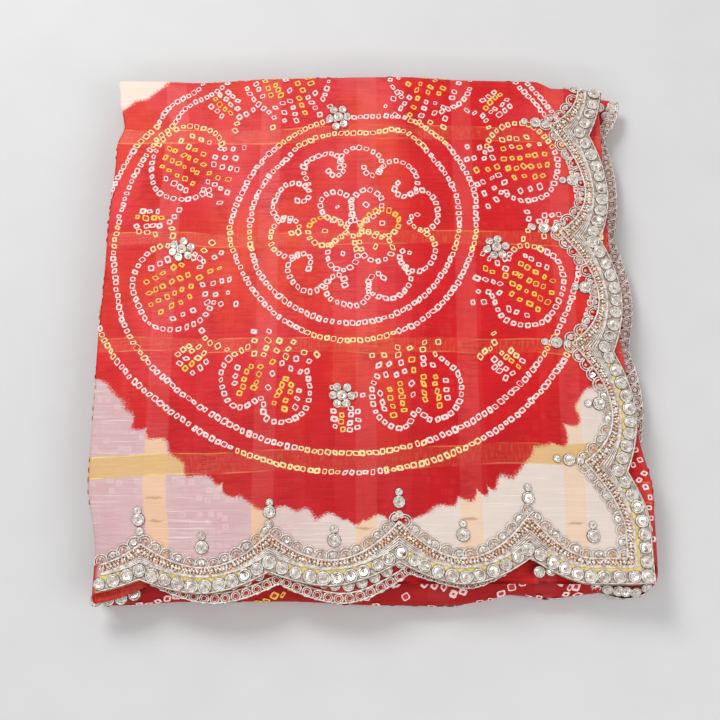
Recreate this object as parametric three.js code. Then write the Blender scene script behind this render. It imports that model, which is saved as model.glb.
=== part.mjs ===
import * as THREE from "three";

// A square tie-dyed cloth folded into a flat pack: in three across its width, then in three
// along its length, with a scalloped, embroidered border on its two free edges.
// Millimetres, +Z up, +Y towards the back fold. The origin is on the surface that the pack
// lies on, under the middle of the pack.

// Driving sizes
const PACK = 324; // width and depth of the folded pack before it is settled
const PLY = 1.8; // thickness of one ply
const GAP = 0.9; // air between two plies
const FOLDS = 3; // plies side by side in each direction of folding
const TRIM_X = 99; // the cut side edge draws the cloth in from here outwards
const TRIM_Y = 95; // the same for the cut front edge
const SEAT_GAP = 0.5; // air under a piece that is sewn on

// How unevenly it lies
const LOOSENESS = 0.7; // rise and fall of the plies inside the pack
const RAGGED = 2.2; // how far the lower plies stand in and out of line

// Scalloped border
const SCALLOP = 74.7; // width of one scallop along the front edge
const SIDE_SCALLOP = 72.2; // width of one scallop along the side edge
const SCALLOP_DEPTH = 12; // how far a notch is cut into the front edge
const SIDE_DEPTH = 10; // how far a notch is cut into the side edge
const SIDE_LEAN = 5.5; // how far back the side band's peaks lean from their notches
const FRONT_NOTCH_X = 90; // first notch on the front edge, from the corner
const SIDE_NOTCH_Y = -92.5; // first notch on the side edge, from the corner
const FRONT_EDGE_Y = -157.5; // outer line of the front edge at the right
const SIDE_EDGE_X = 161; // outer line of the side edge at the front
const BAND_INSET = 1.2; // bare hem outside the embroidered band
const BAND_WIDTH = 17.5; // embroidered band at the middle of a scallop
const BAND_PEAK = 26; // how much further the band reaches at a notch
const BAND_THICKNESS = 1.1;
const BAND_JOINT_X = 139.8; // where the front band meets the side band

// Sewn-on sequin work
const FLOWER_RADIUS = 8.5;
const FLOWER_HEIGHT = 1.8;
const DROP_RADII = [3.3, 2];
const DROP_PITCH = 6.2; // between the middles of the two sequins of a drop
const DROP_HEIGHT = 1.1;

// Worked out from the sizes above
const HALF = PACK / 2;
const PITCH = PLY + GAP;
const LAYER_PITCH = FOLDS * PITCH;
const THICKNESS = (FOLDS * FOLDS - 1) * PITCH + PLY;
const ACROSS_TURN_X = HALF - PITCH / 2 - PLY / 2;
const ALONG_TURN_Y = HALF - LAYER_PITCH / 2 - PITCH - PLY / 2;
const TOP_LAYER_Z = THICKNESS - PITCH - PLY / 2;
const MIDDLE_NOTCH_Y = SIDE_NOTCH_Y + SIDE_SCALLOP + 6; // a notch of the side edge one layer down

// Stations along one scallop, as shares of its width, on the top ply and on the plies below
const FINE_SHARES = [0, 0.08, 0.25, 0.5, 0.75, 0.92];
const COARSE_SHARES = [0, 0.25, 0.75];

// How far each side of the settled pack stands out from the neat square, in order along it
const LEFT_SIDE = [
  { at: -165, out: -1.5 },
  { at: -140, out: -2 },
  { at: -96, out: 4.5 },
  { at: -20, out: 4.5 },
  { at: 50, out: 3 },
  { at: 116, out: 1 },
  { at: 128, out: -3 },
  { at: 145, out: 1 },
  { at: 165, out: 3.5 },
];
const BACK_SIDE = [
  { at: -165, out: 6 },
  { at: -140, out: 6 },
  { at: -110, out: 4.6 },
  { at: -70, out: 6.4 },
  { at: 20, out: 7.2 },
  { at: 60, out: 5.4 },
  { at: 108, out: 5.4 },
  { at: 120, out: 0.7 },
  { at: 148, out: -1 },
  { at: 165, out: -1 },
];
const FRONT_FOLD = [
  { at: -165, out: 1.5 },
  { at: -150, out: 6.5 },
  { at: -105, out: 4.2 },
  { at: -46, out: 4.2 },
  { at: -5, out: 6.2 },
  { at: 43, out: 6.9 },
  { at: 68, out: 3.6 },
  { at: 82, out: 0 },
  { at: 101, out: 2.9 },
  { at: 118, out: 0.9 },
  { at: 127, out: -2.2 },
  { at: 145, out: 1.5 },
  { at: 165, out: -3 },
];
const RIGHT_FOLD = [
  { at: -165, out: 1.5 },
  { at: -127, out: 3 },
  { at: -106, out: 3 },
  { at: -68, out: -3 },
  { at: -40, out: -8 },
  { at: 20, out: -14 },
  { at: 165, out: -14 },
];

const clamp01 = (value) => Math.min(1, Math.max(0, value));
const smooth = (from, to, value) => {
  const share = clamp01((value - from) / (to - from));
  return share * share * (3 - 2 * share);
};
const bell = (distance, width) => Math.exp(-((distance / width) ** 2));

// The value of an outline table at a place, eased from one row to the next
function outlineAt(rows, place) {
  const after = rows.findIndex(({ at }) => at > place);
  if (after === 0) return rows[0].out;
  if (after < 0) return rows[rows.length - 1].out;
  const [a, b] = [rows[after - 1], rows[after]];
  return a.out + (b.out - a.out) * smooth(a.at, b.at, place);
}

// How far the cut edge lies inside its outer line at a place along it, as a share of its depth
function scallop(place, notch, width) {
  const share = (((place - notch) / width) % 1 + 1) % 1;
  return Math.abs(2 * share - 1) ** 1.8;
}

// The scallop at the free corner runs straight to the corner, with a small rounding
function frontScallop(x) {
  if (x > FRONT_NOTCH_X + SCALLOP / 2) return 3 * smooth(HALF - 10, HALF - 2, x);
  return (SCALLOP_DEPTH + 0.03 * x) * scallop(x, FRONT_NOTCH_X, SCALLOP);
}

function sideScallop(y) {
  if (y < SIDE_NOTCH_Y - SIDE_SCALLOP / 2) return 3 * smooth(12 - HALF, 4 - HALF, y);
  return SIDE_DEPTH * scallop(y, SIDE_NOTCH_Y, SIDE_SCALLOP);
}

// Places along a scalloped edge between two limits, the notches included
function scallopStations(low, high, notch, width, shares) {
  const stations = [];
  const first = Math.floor((low - notch) / width) - 1;
  const last = Math.ceil((high - notch) / width) + 1;
  for (let k = first; k <= last; k++)
    for (const share of shares) stations.push(notch + (k + share) * width);
  return stations.filter((place) => place > low && place < high);
}

function evenStations(low, high, count) {
  return Array.from({ length: count }, (_, k) => low + ((k + 1) * (high - low)) / (count + 1));
}

// A folded section: straight runs, each joined to the next by a half turn. A run has its start,
// its end, its level, the places between them, and a name. The side is +1 where the
// cloth's face looks up and -1 where it looks down.
function foldedSection(runs, turnSteps) {
  const points = [];
  runs.forEach((run, k) => {
    const side = k % 2 === 0 ? 1 : -1;
    const ordered = [...run.places].sort((a, b) => (a - b) * Math.sign(run.to - run.from));
    for (const along of [run.from, ...ordered, run.to])
      points.push({ along, level: run.level, normal: [0, side], name: run.name });
    const next = runs[k + 1];
    if (!next) return;
    const direction = Math.sign(run.to - run.from);
    const radius = (run.level - next.level) / 2;
    for (let step = 1; step < turnSteps; step++) {
      const angle = (Math.PI * step) / turnSteps;
      const out = [direction * Math.sin(angle), Math.cos(angle)];
      points.push({
        along: run.to + radius * out[0],
        level: run.level - radius + radius * out[1],
        normal: [side * out[0], side * out[1]],
        name: "turn",
      });
    }
  });
  return points;
}

// The cloth is folded across its width first: free edge, left fold, right fold, hidden edge
const ACROSS = foldedSection(
  [
    {
      name: "first",
      from: HALF,
      to: -ACROSS_TURN_X,
      level: PITCH,
      places: [
        146,
        127,
        109,
        ...scallopStations(-ACROSS_TURN_X + 3, TRIM_X, FRONT_NOTCH_X, SCALLOP, FINE_SHARES),
      ],
    },
    {
      name: "second",
      from: -ACROSS_TURN_X,
      to: ACROSS_TURN_X,
      level: 0,
      places: scallopStations(-150, 150, FRONT_NOTCH_X + 6, SCALLOP, COARSE_SHARES),
    },
    {
      name: "third",
      from: ACROSS_TURN_X,
      to: -HALF + 9,
      level: -PITCH,
      places: evenStations(-HALF + 9, ACROSS_TURN_X, 4),
    },
  ],
  3,
);

// and then along its length: scalloped front edge, back fold, front fold, hidden back edge
const ALONG = foldedSection(
  [
    {
      name: "top",
      from: -HALF,
      to: ALONG_TURN_Y,
      level: TOP_LAYER_Z,
      places: [
        -150,
        -140,
        -129,
        -111,
        -98.5,
        ...scallopStations(-TRIM_Y, 150, SIDE_NOTCH_Y, SIDE_SCALLOP, FINE_SHARES),
      ],
    },
    {
      name: "middle",
      from: ALONG_TURN_Y,
      to: -ALONG_TURN_Y,
      level: TOP_LAYER_Z - LAYER_PITCH,
      places: scallopStations(-146, 149, MIDDLE_NOTCH_Y, SIDE_SCALLOP, COARSE_SHARES),
    },
    {
      name: "bottom",
      from: -ALONG_TURN_Y,
      to: HALF - 10,
      level: TOP_LAYER_Z - 2 * LAYER_PITCH,
      places: evenStations(-ALONG_TURN_Y, HALF - 10, 4),
    },
  ],
  5,
);

// Draws in the part of the cloth beyond a start, so that its neat edge lies on the cut edge
const trimmed = (place, start, neat, cut) =>
  place < start ? place : start + ((place - start) * (cut - start)) / (neat - start);

// Where the cut front edge lies, for each ply of the top layer. The second ply peeks out at the
// left, the third at the left corner only.
function frontEdge(ply, x) {
  if (ply === "first") return FRONT_EDGE_Y - 5.5 * smooth(10, -110, x) + frontScallop(x);
  if (ply === "second") {
    const outer = FRONT_EDGE_Y - 10.5 + 8 * smooth(-20, 45, x) + 8 * smooth(50, 90, x);
    return outer + 11 * scallop(x, FRONT_NOTCH_X + 6, SCALLOP);
  }
  if (ply === "third") return FRONT_EDGE_Y + 1 - 8 * smooth(-120, -150, x);
  return FRONT_EDGE_Y + (x < 0 ? -6 : 3);
}

// Where the cut side edge lies, for each layer
function sideEdge(layer, y) {
  if (layer === "top") return SIDE_EDGE_X - 12 * clamp01((y + 125) / 222) - sideScallop(y);
  if (layer === "middle") {
    const outer = SIDE_EDGE_X + 4 - 7 * smooth(-30, 110, y) + 6 * smooth(126, 146, y);
    return outer - 6.5 * scallop(y, MIDDLE_NOTCH_Y, SIDE_SCALLOP);
  }
  if (layer === "bottom") return HALF - 14;
  return y > 0 ? HALF - 9 : HALF - 4;
}

// Soft ridges and troughs of the settled cloth: from one point to another, with a half width
// and a height that is negative for a trough
const CREASES = [
  { from: [-150, 60], to: [-60, 30], width: 26, height: 1.6 },
  { from: [-140, -120], to: [20, -100], width: 24, height: 1.8 },
  { from: [70, -130], to: [140, 40], width: 30, height: 1.5 },
  { from: [-60, 150], to: [60, 120], width: 26, height: 1.4 },
  { from: [-20, -60], to: [90, -20], width: 30, height: -1.2 },
  { from: [-100, -60], to: [-90, 130], width: 24, height: -1.1 },
];

function creaseHeight(x, y) {
  return CREASES.reduce((sum, { from, to, width, height }) => {
    const run = [to[0] - from[0], to[1] - from[1]];
    const share = clamp01(
      ((x - from[0]) * run[0] + (y - from[1]) * run[1]) / (run[0] ** 2 + run[1] ** 2),
    );
    const off = Math.hypot(x - from[0] - share * run[0], y - from[1] - share * run[1]);
    return sum + height * bell(off, width);
  }, 0);
}

// How much the whole pack is puffed up at a place: a low crown, thin edges, ripples at the
// front edge that rise at each notch
function swell(x, y) {
  const crown = 3.4 * (1 - (x / 175) ** 2) * (1 - (y / 175) ** 2) - 1.2;
  const ripple = 1.3 * Math.cos((2 * Math.PI * (x - FRONT_NOTCH_X)) / SCALLOP);
  const sideRipple = 1.1 * Math.cos((2 * Math.PI * (y - SIDE_NOTCH_Y)) / SIDE_SCALLOP);
  return (
    crown +
    creaseHeight(x, y) +
    ripple * smooth(-110, -160, y) +
    sideRipple * smooth(110, 160, x)
  );
}

// How far a height follows the folds on the right: not the top ply, nor the ply of the middle
// layer whose free edge shows
function foldShare(z) {
  const clear = PITCH - PLY / 2;
  const free = TOP_LAYER_Z - LAYER_PITCH - PITCH;
  const atTop = smooth(TOP_LAYER_Z + PLY / 2, TOP_LAYER_Z + clear, z);
  const atFree = smooth(clear, PLY / 2, Math.abs(z - free));
  return (1 - atTop) * (1 - atFree);
}

// Uneven air between the plies inside the pack
function looseness(x, y, z) {
  const depth = z / THICKNESS;
  const plan = Math.sin(x / 37 + 1) * Math.sin(y / 41 + 0.5) + 0.6 * Math.cos((x + y) / 60);
  return LOOSENESS * plan * Math.sin(2 * Math.PI * depth);
}

// Moves a point of the neatly folded cloth to where it lies in the settled pack. Heights keep
// their order, so that plies never cross, and the underside stays flat.
function settle({ x, y, z }) {
  const buried = 1 - z / THICKNESS;
  const leftRagged = RAGGED * buried * Math.sin(y / 42 + z / 4);
  const backRagged = RAGGED * buried * Math.sin(x / 47 + z / 5 + 1);
  const left = smooth(-60, -HALF, x) * (outlineAt(LEFT_SIDE, y) - leftRagged);
  const right = smooth(80, HALF, x) * foldShare(z) * outlineAt(RIGHT_FOLD, y);
  const back = smooth(80, HALF, y) * (outlineAt(BACK_SIDE, x) - backRagged);
  const lower = smooth(TOP_LAYER_Z - PITCH, TOP_LAYER_Z - LAYER_PITCH, z);
  const front = smooth(-90, -HALF, y) * lower * outlineAt(FRONT_FOLD, x);
  const height = z * (1 + swell(x, y) / THICKNESS) + looseness(x, y, z);
  return new THREE.Vector3(x + right - left, y + back - front, height);
}

// One closed body between an upper and a lower grid of points
function closedGrid(upper, lower) {
  const rows = upper.length;
  const columns = upper[0].length;
  const positions = [...upper.flat(), ...lower.flat()].flatMap((p) => [p.x, p.y, p.z]);
  const at = (i, j, side) => side * rows * columns + i * columns + j;
  const index = [];
  const quad = (a, b, c, d) => index.push(a, b, c, a, c, d);
  for (let i = 0; i + 1 < rows; i++)
    for (let j = 0; j + 1 < columns; j++) {
      quad(at(i, j, 0), at(i, j + 1, 0), at(i + 1, j + 1, 0), at(i + 1, j, 0));
      quad(at(i + 1, j, 1), at(i + 1, j + 1, 1), at(i, j + 1, 1), at(i, j, 1));
    }
  const rim = (i0, j0, i1, j1) =>
    quad(at(i1, j1, 0), at(i0, j0, 0), at(i0, j0, 1), at(i1, j1, 1));
  for (let j = 0; j + 1 < columns; j++) {
    rim(0, j, 0, j + 1);
    rim(rows - 1, j + 1, rows - 1, j);
  }
  for (let i = 0; i + 1 < rows; i++) {
    rim(i, columns - 1, i + 1, columns - 1);
    rim(i + 1, 0, i, 0);
  }
  const geometry = new THREE.BufferGeometry();
  geometry.setAttribute("position", new THREE.Float32BufferAttribute(positions, 3));
  geometry.setIndex(index);
  return geometry;
}

// A point of the neatly folded cloth, some way out from its middle surface
function foldedPoint(across, along, offset) {
  let x = across.along;
  if (across.name === "first") x = trimmed(x, TRIM_X, HALF, sideEdge(along.name, along.along));
  let y = along.along;
  if (along.name === "top") y = -trimmed(-y, TRIM_Y, HALF, -frontEdge(across.name, x));
  x += across.normal[0] * offset;
  const w = across.level + across.normal[1] * offset;
  return new THREE.Vector3(x, y + along.normal[0] * w, along.level + along.normal[1] * w);
}

const foldedGrid = (across, along, offset) =>
  across.map((a) => along.map((b) => foldedPoint(a, b, offset)));

function clothGeometry() {
  const side = (offset) => foldedGrid(ACROSS, ALONG, offset).map((row) => row.map(settle));
  return closedGrid(side(PLY / 2), side(-PLY / 2));
}

// The facets of the top ply, neatly folded and settled
function topFacets() {
  const across = ACROSS.filter(({ name }) => name === "first");
  const along = ALONG.filter(({ name }) => name === "top");
  const grid = foldedGrid(across, along, PLY / 2);
  const facets = [];
  for (let i = 0; i + 1 < across.length; i++)
    for (let j = 0; j + 1 < along.length; j++)
      for (const third of [
        [i, j + 1],
        [i + 1, j],
      ]) {
        const corners = [grid[i][j], grid[i + 1][j + 1], grid[third[0]][third[1]]];
        facets.push({ neat: new THREE.Triangle(...corners), settled: corners.map(settle) });
      }
  return facets;
}

const TOP_FACETS = topFacets();

// A point above the top ply, given by where it is on the neatly folded pack
function aboveTopPly(x, y, rise) {
  const place = new THREE.Vector3(x, y, THICKNESS);
  const share = new THREE.Vector3();
  const best = { inside: -Infinity };
  for (const { neat, settled } of TOP_FACETS) {
    neat.getBarycoord(place, share);
    const inside = Math.min(share.x, share.y, share.z);
    if (inside <= best.inside) continue;
    best.inside = inside;
    best.point = new THREE.Vector3(0, 0, rise);
    settled.forEach((corner, k) => best.point.addScaledVector(corner, share.getComponent(k)));
  }
  return best.point;
}

// A strip that lies on the top ply, between an outer and an inner line, with a raised middle
function bandGeometry(places, outerPoint, innerPoint) {
  const shares = [0, 0.3, 0.7, 1];
  const side = (height, crown) =>
    places.map((place) =>
      shares.map((share) => {
        const [ax, ay] = outerPoint(place);
        const [bx, by] = innerPoint(place);
        const rise = height + (share > 0 && share < 1 ? crown : 0);
        return aboveTopPly(ax + (bx - ax) * share, ay + (by - ay) * share, rise);
      }),
    );
  return closedGrid(side(SEAT_GAP + BAND_THICKNESS, 0.5), side(SEAT_GAP, 0));
}

// How far the band reaches in from the outer line, at a share of the way up to its peak
const bandReach = (share) => BAND_WIDTH + BAND_PEAK * share ** 1.6;

function frontBandGeometry() {
  const stations = scallopStations(-HALF + 6, BAND_JOINT_X, FRONT_NOTCH_X, SCALLOP, FINE_SHARES);
  const places = [BAND_JOINT_X, ...stations.sort((a, b) => b - a), -HALF + 5];
  return bandGeometry(
    places,
    (x) => [x, frontEdge("first", x) + BAND_INSET],
    (x) => [x, frontEdge("first", x) - frontScallop(x) + bandReach(frontScallop(x) / SCALLOP_DEPTH)],
  );
}

function sideBandGeometry() {
  const stations = scallopStations(-HALF + 20, 148, SIDE_NOTCH_Y, SIDE_SCALLOP, FINE_SHARES);
  const places = [...stations.sort((a, b) => b - a), -HALF + 18, -HALF + 6];
  return bandGeometry(
    places,
    (y) => [sideEdge("top", y) - BAND_INSET, y],
    (y) => {
      const share = sideScallop(y) / SIDE_DEPTH;
      return [sideEdge("top", y) + sideScallop(y) - bandReach(share), y + SIDE_LEAN * share];
    },
  );
}

// A flat piece that follows the top ply. Its outline is given round a middle from which all of
// it is in sight.
function patchGeometry(outline, { x, y, turn }, height) {
  const cos = Math.cos(turn);
  const sin = Math.sin(turn);
  const layer = (rise) =>
    [[0, 0], ...outline].map(([u, v]) =>
      aboveTopPly(x + u * cos - v * sin, y + u * sin + v * cos, rise),
    );
  const points = [...layer(SEAT_GAP + height), ...layer(SEAT_GAP)];
  const below = outline.length + 1;
  const index = outline.flatMap((_, k) => {
    const here = k + 1;
    const next = ((k + 1) % outline.length) + 1;
    return [
      [0, here, next],
      [below, below + next, below + here],
      [here, below + here, below + next],
      [here, below + next, next],
    ].flat();
  });
  const geometry = new THREE.BufferGeometry();
  const positions = points.flatMap((p) => [p.x, p.y, p.z]);
  geometry.setAttribute("position", new THREE.Float32BufferAttribute(positions, 3));
  geometry.setIndex(index);
  return geometry;
}

// Points of an arc round a centre, between two angles
function arc(cx, cy, radius, from, to, steps) {
  return Array.from({ length: steps }, (_, k) => {
    const angle = from + ((to - from) * k) / (steps - 1);
    return [cx + radius * Math.cos(angle), cy + radius * Math.sin(angle)];
  });
}

// Six petals
function flowerOutline() {
  const steps = 36;
  return Array.from({ length: steps }, (_, k) => {
    const angle = (2 * Math.PI * k) / steps;
    const radius = FLOWER_RADIUS * (0.62 + 0.38 * Math.abs(Math.cos(3 * angle)));
    return [radius * Math.cos(angle), radius * Math.sin(angle)];
  });
}

// A large and a small sequin joined by stitches, the small one further along +Y
function dropOutline() {
  const [large, small] = DROP_RADII;
  const half = Math.PI / 2;
  return [
    ...arc(0, -large, large, half + 0.5, half - 0.5 + 2 * Math.PI, 14),
    ...arc(0, DROP_PITCH - large, small, -half + 0.8, 3 * half - 0.8, 9),
  ];
}

const fabric = new THREE.MeshStandardMaterial({ color: 0xc8242c, roughness: 0.75, metalness: 0 });
const embroidery = new THREE.MeshStandardMaterial({ color: 0xc9c2ba, roughness: 0.35, metalness: 0.8 });
const sequin = new THREE.MeshStandardMaterial({ color: 0xdedbd6, roughness: 0.25, metalness: 0.9 });

const FLOWERS = [
  { name: "flower_back", x: -21, y: 131.5, turn: 0.1 },
  { name: "flower_left", x: -115.5, y: 45.5, turn: 0.3 },
  { name: "flower_right", x: 77, y: 47, turn: 0.2 },
  { name: "flower_front", x: -18, y: -47, turn: 0 },
];

const DROPS = [
  { name: "drop_front_1", x: -98.5, y: -133, turn: 0 },
  { name: "drop_front_2", x: -22, y: -129, turn: 0 },
  { name: "drop_front_3", x: 52, y: -126, turn: 0 },
  { name: "drop_front_4", x: 127, y: -126.5, turn: 0 },
  { name: "drop_side_1", x: 131, y: -52, turn: Math.PI / 2 },
  { name: "drop_side_2", x: 127, y: 21, turn: Math.PI / 2 },
  { name: "drop_side_3", x: 123.3, y: 93, turn: Math.PI / 2 },
];

const pack = new THREE.Group();

function addPiece(name, geometry, material) {
  const mesh = new THREE.Mesh(geometry, material);
  mesh.name = name;
  pack.add(mesh);
  return mesh;
}

addPiece("cloth", clothGeometry(), fabric);
addPiece("border_front", frontBandGeometry(), embroidery);
addPiece("border_side", sideBandGeometry(), embroidery);
for (const place of FLOWERS)
  addPiece(place.name, patchGeometry(flowerOutline(), place, FLOWER_HEIGHT), sequin);
for (const place of DROPS)
  addPiece(place.name, patchGeometry(dropOutline(), place, DROP_HEIGHT), sequin);

// The frame's origin is under the middle of the settled pack
const bounds = new THREE.Box3().setFromObject(pack);
const middle = bounds.getCenter(new THREE.Vector3());
pack.position.set(-middle.x, -middle.y, -bounds.min.z);

export default pack;
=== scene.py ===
"""Looks of a folded bandhani cloth: a sheer tie-dyed sheet in a flat square pack, with a
scalloped border of sequins, beads and silver cord. Shapes are worked out in millimetres on the
neatly folded cloth, laid on the settled pack, and turned into metres at the end."""

import math

import bpy
import numpy as np

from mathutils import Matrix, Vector


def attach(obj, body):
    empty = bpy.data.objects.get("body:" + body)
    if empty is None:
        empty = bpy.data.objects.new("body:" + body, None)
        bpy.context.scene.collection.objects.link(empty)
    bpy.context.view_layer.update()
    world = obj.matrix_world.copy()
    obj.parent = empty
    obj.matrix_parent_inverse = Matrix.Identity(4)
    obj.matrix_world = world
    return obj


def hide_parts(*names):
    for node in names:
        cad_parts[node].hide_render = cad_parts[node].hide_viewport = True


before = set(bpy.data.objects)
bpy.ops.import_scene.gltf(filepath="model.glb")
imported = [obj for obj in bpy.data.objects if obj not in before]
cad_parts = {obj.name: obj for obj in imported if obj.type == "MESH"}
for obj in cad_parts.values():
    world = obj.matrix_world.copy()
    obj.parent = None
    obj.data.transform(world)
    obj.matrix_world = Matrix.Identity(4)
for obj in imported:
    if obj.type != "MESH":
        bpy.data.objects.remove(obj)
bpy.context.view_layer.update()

MM = 0.001
rng = np.random.default_rng(20)


def vary(amount, size=None):
    return rng.normal(0, amount, size)


# Sizes of the folded pack, as in the part's source
PACK = 324
PLY = 1.8
GAP = 0.9
HALF = PACK / 2
PITCH = PLY + GAP
LAYER_PITCH = 3 * PITCH
THICKNESS = 8 * PITCH + PLY
TOP_LAYER_Z = THICKNESS - PITCH - PLY / 2
ACROSS_TURN_X = HALF - PITCH / 2 - PLY / 2
ALONG_TURN_Y = HALF - LAYER_PITCH / 2 - PITCH - PLY / 2
TRIM_X = 99
TRIM_Y = 95
LOOSENESS = 0.7
RAGGED = 2.2
PACK_SHIFT = (1.626068, -0.568535, 0.0)

# Scalloped edges
SCALLOP = 74.7
SIDE_SCALLOP = 72.2
SCALLOP_DEPTH = 12
SIDE_DEPTH = 10
CORNER_DEPTH = 3
SIDE_LEAN = 5.5
FRONT_NOTCH_X = 90
SIDE_NOTCH_Y = -92.5
FRONT_EDGE_Y = -157.5
SIDE_EDGE_X = 161
FRONT_BOW = 5.5
SIDE_TAPER = 12
SECOND_DEPTH = 11
SECOND_SIDE_DEPTH = 6.5
FRONT_MIDDLE_X = FRONT_NOTCH_X + SCALLOP / 2
SIDE_MIDDLE_Y = SIDE_NOTCH_Y - SIDE_SCALLOP / 2
MIDDLE_NOTCH_Y = SIDE_NOTCH_Y + SIDE_SCALLOP + 6

# The sheet as it shows: thinner than the solid's plies
SHEET = 0.9

# How far each side of the settled pack stands out from the neat square: place, distance
LEFT_SIDE = [
    (-165, -1.5), (-140, -2), (-96, 4.5), (-20, 4.5), (50, 3), (116, 1), (128, -3), (145, 1), (165, 3.5),
]
BACK_SIDE = [
    (-165, 6), (-140, 6), (-110, 4.6), (-70, 6.4), (20, 7.2), (60, 5.4), (108, 5.4), (120, 0.7), (148, -1),
    (165, -1),
]
FRONT_FOLD = [
    (-165, 1.5), (-150, 6.5), (-105, 4.2), (-46, 4.2), (-5, 6.2), (43, 6.9), (68, 3.6), (82, 0), (101, 2.9),
    (118, 0.9), (127, -2.2), (145, 1.5), (165, -3),
]
RIGHT_FOLD = [(-165, 1.5), (-127, 3), (-106, 3), (-68, -3), (-40, -8), (20, -14), (165, -14)]

# Ridges and troughs: from x, y, to x, y, half width, height
BROAD_CREASES = [
    (-150, 60, -60, 30, 26, 1.6), (-140, -120, 20, -100, 24, 1.8), (70, -130, 140, 40, 30, 1.5),
    (-60, 150, 60, 120, 26, 1.4), (-20, -60, 90, -20, 30, -1.2), (-100, -60, -90, 130, 24, -1.1),
]

# Soft creases of the top ply alone
FINE_CREASES = [
    (-158, 118, -128, 96, 5, 0.7), (-160, 96, -140, 60, 6, -0.5), (-150, -30, -96, -52, 8, 0.6),
    (-128, -62, -60, -70, 7, -0.5), (-136, -96, -120, -112, 4, 0.6), (-132, -84, -124, -102, 3.5, -0.5),
    (-12, -96, 2, -112, 4, 0.5), (52, -92, 64, -106, 4, 0.6), (116, -92, 124, -110, 4, 0.5),
    (28, 150, 36, 60, 6, -0.6), (44, 152, 48, 96, 5, 0.5), (-66, 80, -60, -8, 7, -0.4),
    (-8, -10, 4, -70, 7, 0.4),
    (60, -20, 100, -58, 8, 0.5), (96, 44, 128, 20, 7, -0.5), (100, 112, 140, 132, 7, 0.6),
    (-96, 140, -40, 146, 7, -0.5), (128, -60, 140, -20, 6, 0.6), (-20, 96, 40, 88, 8, 0.4),
    (-110, 4, -60, 24, 8, 0.4),
]
FINE_STRENGTH = 1.4


def smooth(start, end, value):
    share = np.clip((value - start) / (end - start), 0, 1)
    return share * share * (3 - 2 * share)


def columns_of(rows):
    return (np.array(column, float) for column in zip(*rows))


def outline_at(rows, place):
    at, out = columns_of(rows)
    place = np.clip(place, at[0], at[-1])
    k = np.clip(np.searchsorted(at, place, side="right") - 1, 0, len(at) - 2)
    return out[k] + (out[k + 1] - out[k]) * smooth(at[k], at[k + 1], place)


def scallop(place, notch, width, power=1.8):
    share = ((place - notch) / width) % 1
    return np.abs(2 * share - 1) ** power


def front_scallop(x):
    corner = CORNER_DEPTH * smooth(HALF - 10, HALF - 2, x)
    depth = SCALLOP_DEPTH + 0.03 * x
    return np.where(x > FRONT_MIDDLE_X, corner, depth * scallop(x, FRONT_NOTCH_X, SCALLOP))


def side_scallop(y):
    corner = CORNER_DEPTH * smooth(12 - HALF, 4 - HALF, y)
    return np.where(y < SIDE_MIDDLE_Y, corner, SIDE_DEPTH * scallop(y, SIDE_NOTCH_Y, SIDE_SCALLOP))


def front_outer(x):
    return FRONT_EDGE_Y - FRONT_BOW * smooth(10, -110, x)


def side_outer(y):
    return SIDE_EDGE_X - SIDE_TAPER * np.clip((y + 125) / 222, 0, 1)


# Cut edges, for each ply across and for each layer along
def front_edges(x):
    second = FRONT_EDGE_Y - 10.5 + 8 * smooth(-20, 45, x) + 8 * smooth(50, 90, x)
    return [
        front_outer(x) + front_scallop(x),
        second + SECOND_DEPTH * scallop(x, FRONT_NOTCH_X + 6, SCALLOP),
        FRONT_EDGE_Y + 1 - 8 * smooth(-120, -150, x),
    ]


def side_edges(y):
    middle = SIDE_EDGE_X + 4 - 7 * smooth(-30, 110, y) + 6 * smooth(126, 146, y)
    return [
        side_outer(y) - side_scallop(y),
        middle - SECOND_SIDE_DEPTH * scallop(y, MIDDLE_NOTCH_Y, SIDE_SCALLOP),
        np.full_like(y, HALF - 14),
    ]


# The edge at a share of the way through the runs: whole numbers are runs, and turns lie between
def blended(edges, stage):
    k = np.clip(stage.astype(int), 0, 1)
    edges = np.array(np.broadcast_arrays(*edges))
    low = np.take_along_axis(edges, k[None], 0)[0]
    high = np.take_along_axis(edges, k[None] + 1, 0)[0]
    return low + (high - low) * smooth(0, 1, stage - k)


def trimmed(place, start, neat, cut):
    return np.where(place < start, place, start + (place - start) * (cut - start) / (neat - start))


def crease_height(creases, x, y):
    total = 0
    for x0, y0, x1, y1, width, height in creases:
        run = np.array([x1 - x0, y1 - y0])
        share = np.clip(((x - x0) * run[0] + (y - y0) * run[1]) / (run @ run), 0, 1)
        off = np.hypot(x - x0 - share * run[0], y - y0 - share * run[1])
        total = total + height * np.exp(-((off / width) ** 2))
    return total


def swell(x, y):
    crown = 3.4 * (1 - (x / 175) ** 2) * (1 - (y / 175) ** 2) - 1.2
    ripple = 1.3 * np.cos(2 * np.pi * (x - FRONT_NOTCH_X) / SCALLOP) * smooth(-110, -160, y)
    side_ripple = 1.1 * np.cos(2 * np.pi * (y - SIDE_NOTCH_Y) / SIDE_SCALLOP) * smooth(110, 160, x)
    return crown + crease_height(BROAD_CREASES, x, y) + ripple + side_ripple


# How much of the right fold's outline a height takes: none on the top ply or on the free ply
def fold_share(z):
    clear = PITCH - PLY / 2
    free = TOP_LAYER_Z - LAYER_PITCH - PITCH
    at_top = smooth(TOP_LAYER_Z + PLY / 2, TOP_LAYER_Z + clear, z)
    at_free = smooth(clear, PLY / 2, np.abs(z - free))
    return (1 - at_top) * (1 - at_free)


def looseness(x, y, z):
    plan = np.sin(x / 37 + 1) * np.sin(y / 41 + 0.5) + 0.6 * np.cos((x + y) / 60)
    return LOOSENESS * plan * np.sin(2 * np.pi * z / THICKNESS)
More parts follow.
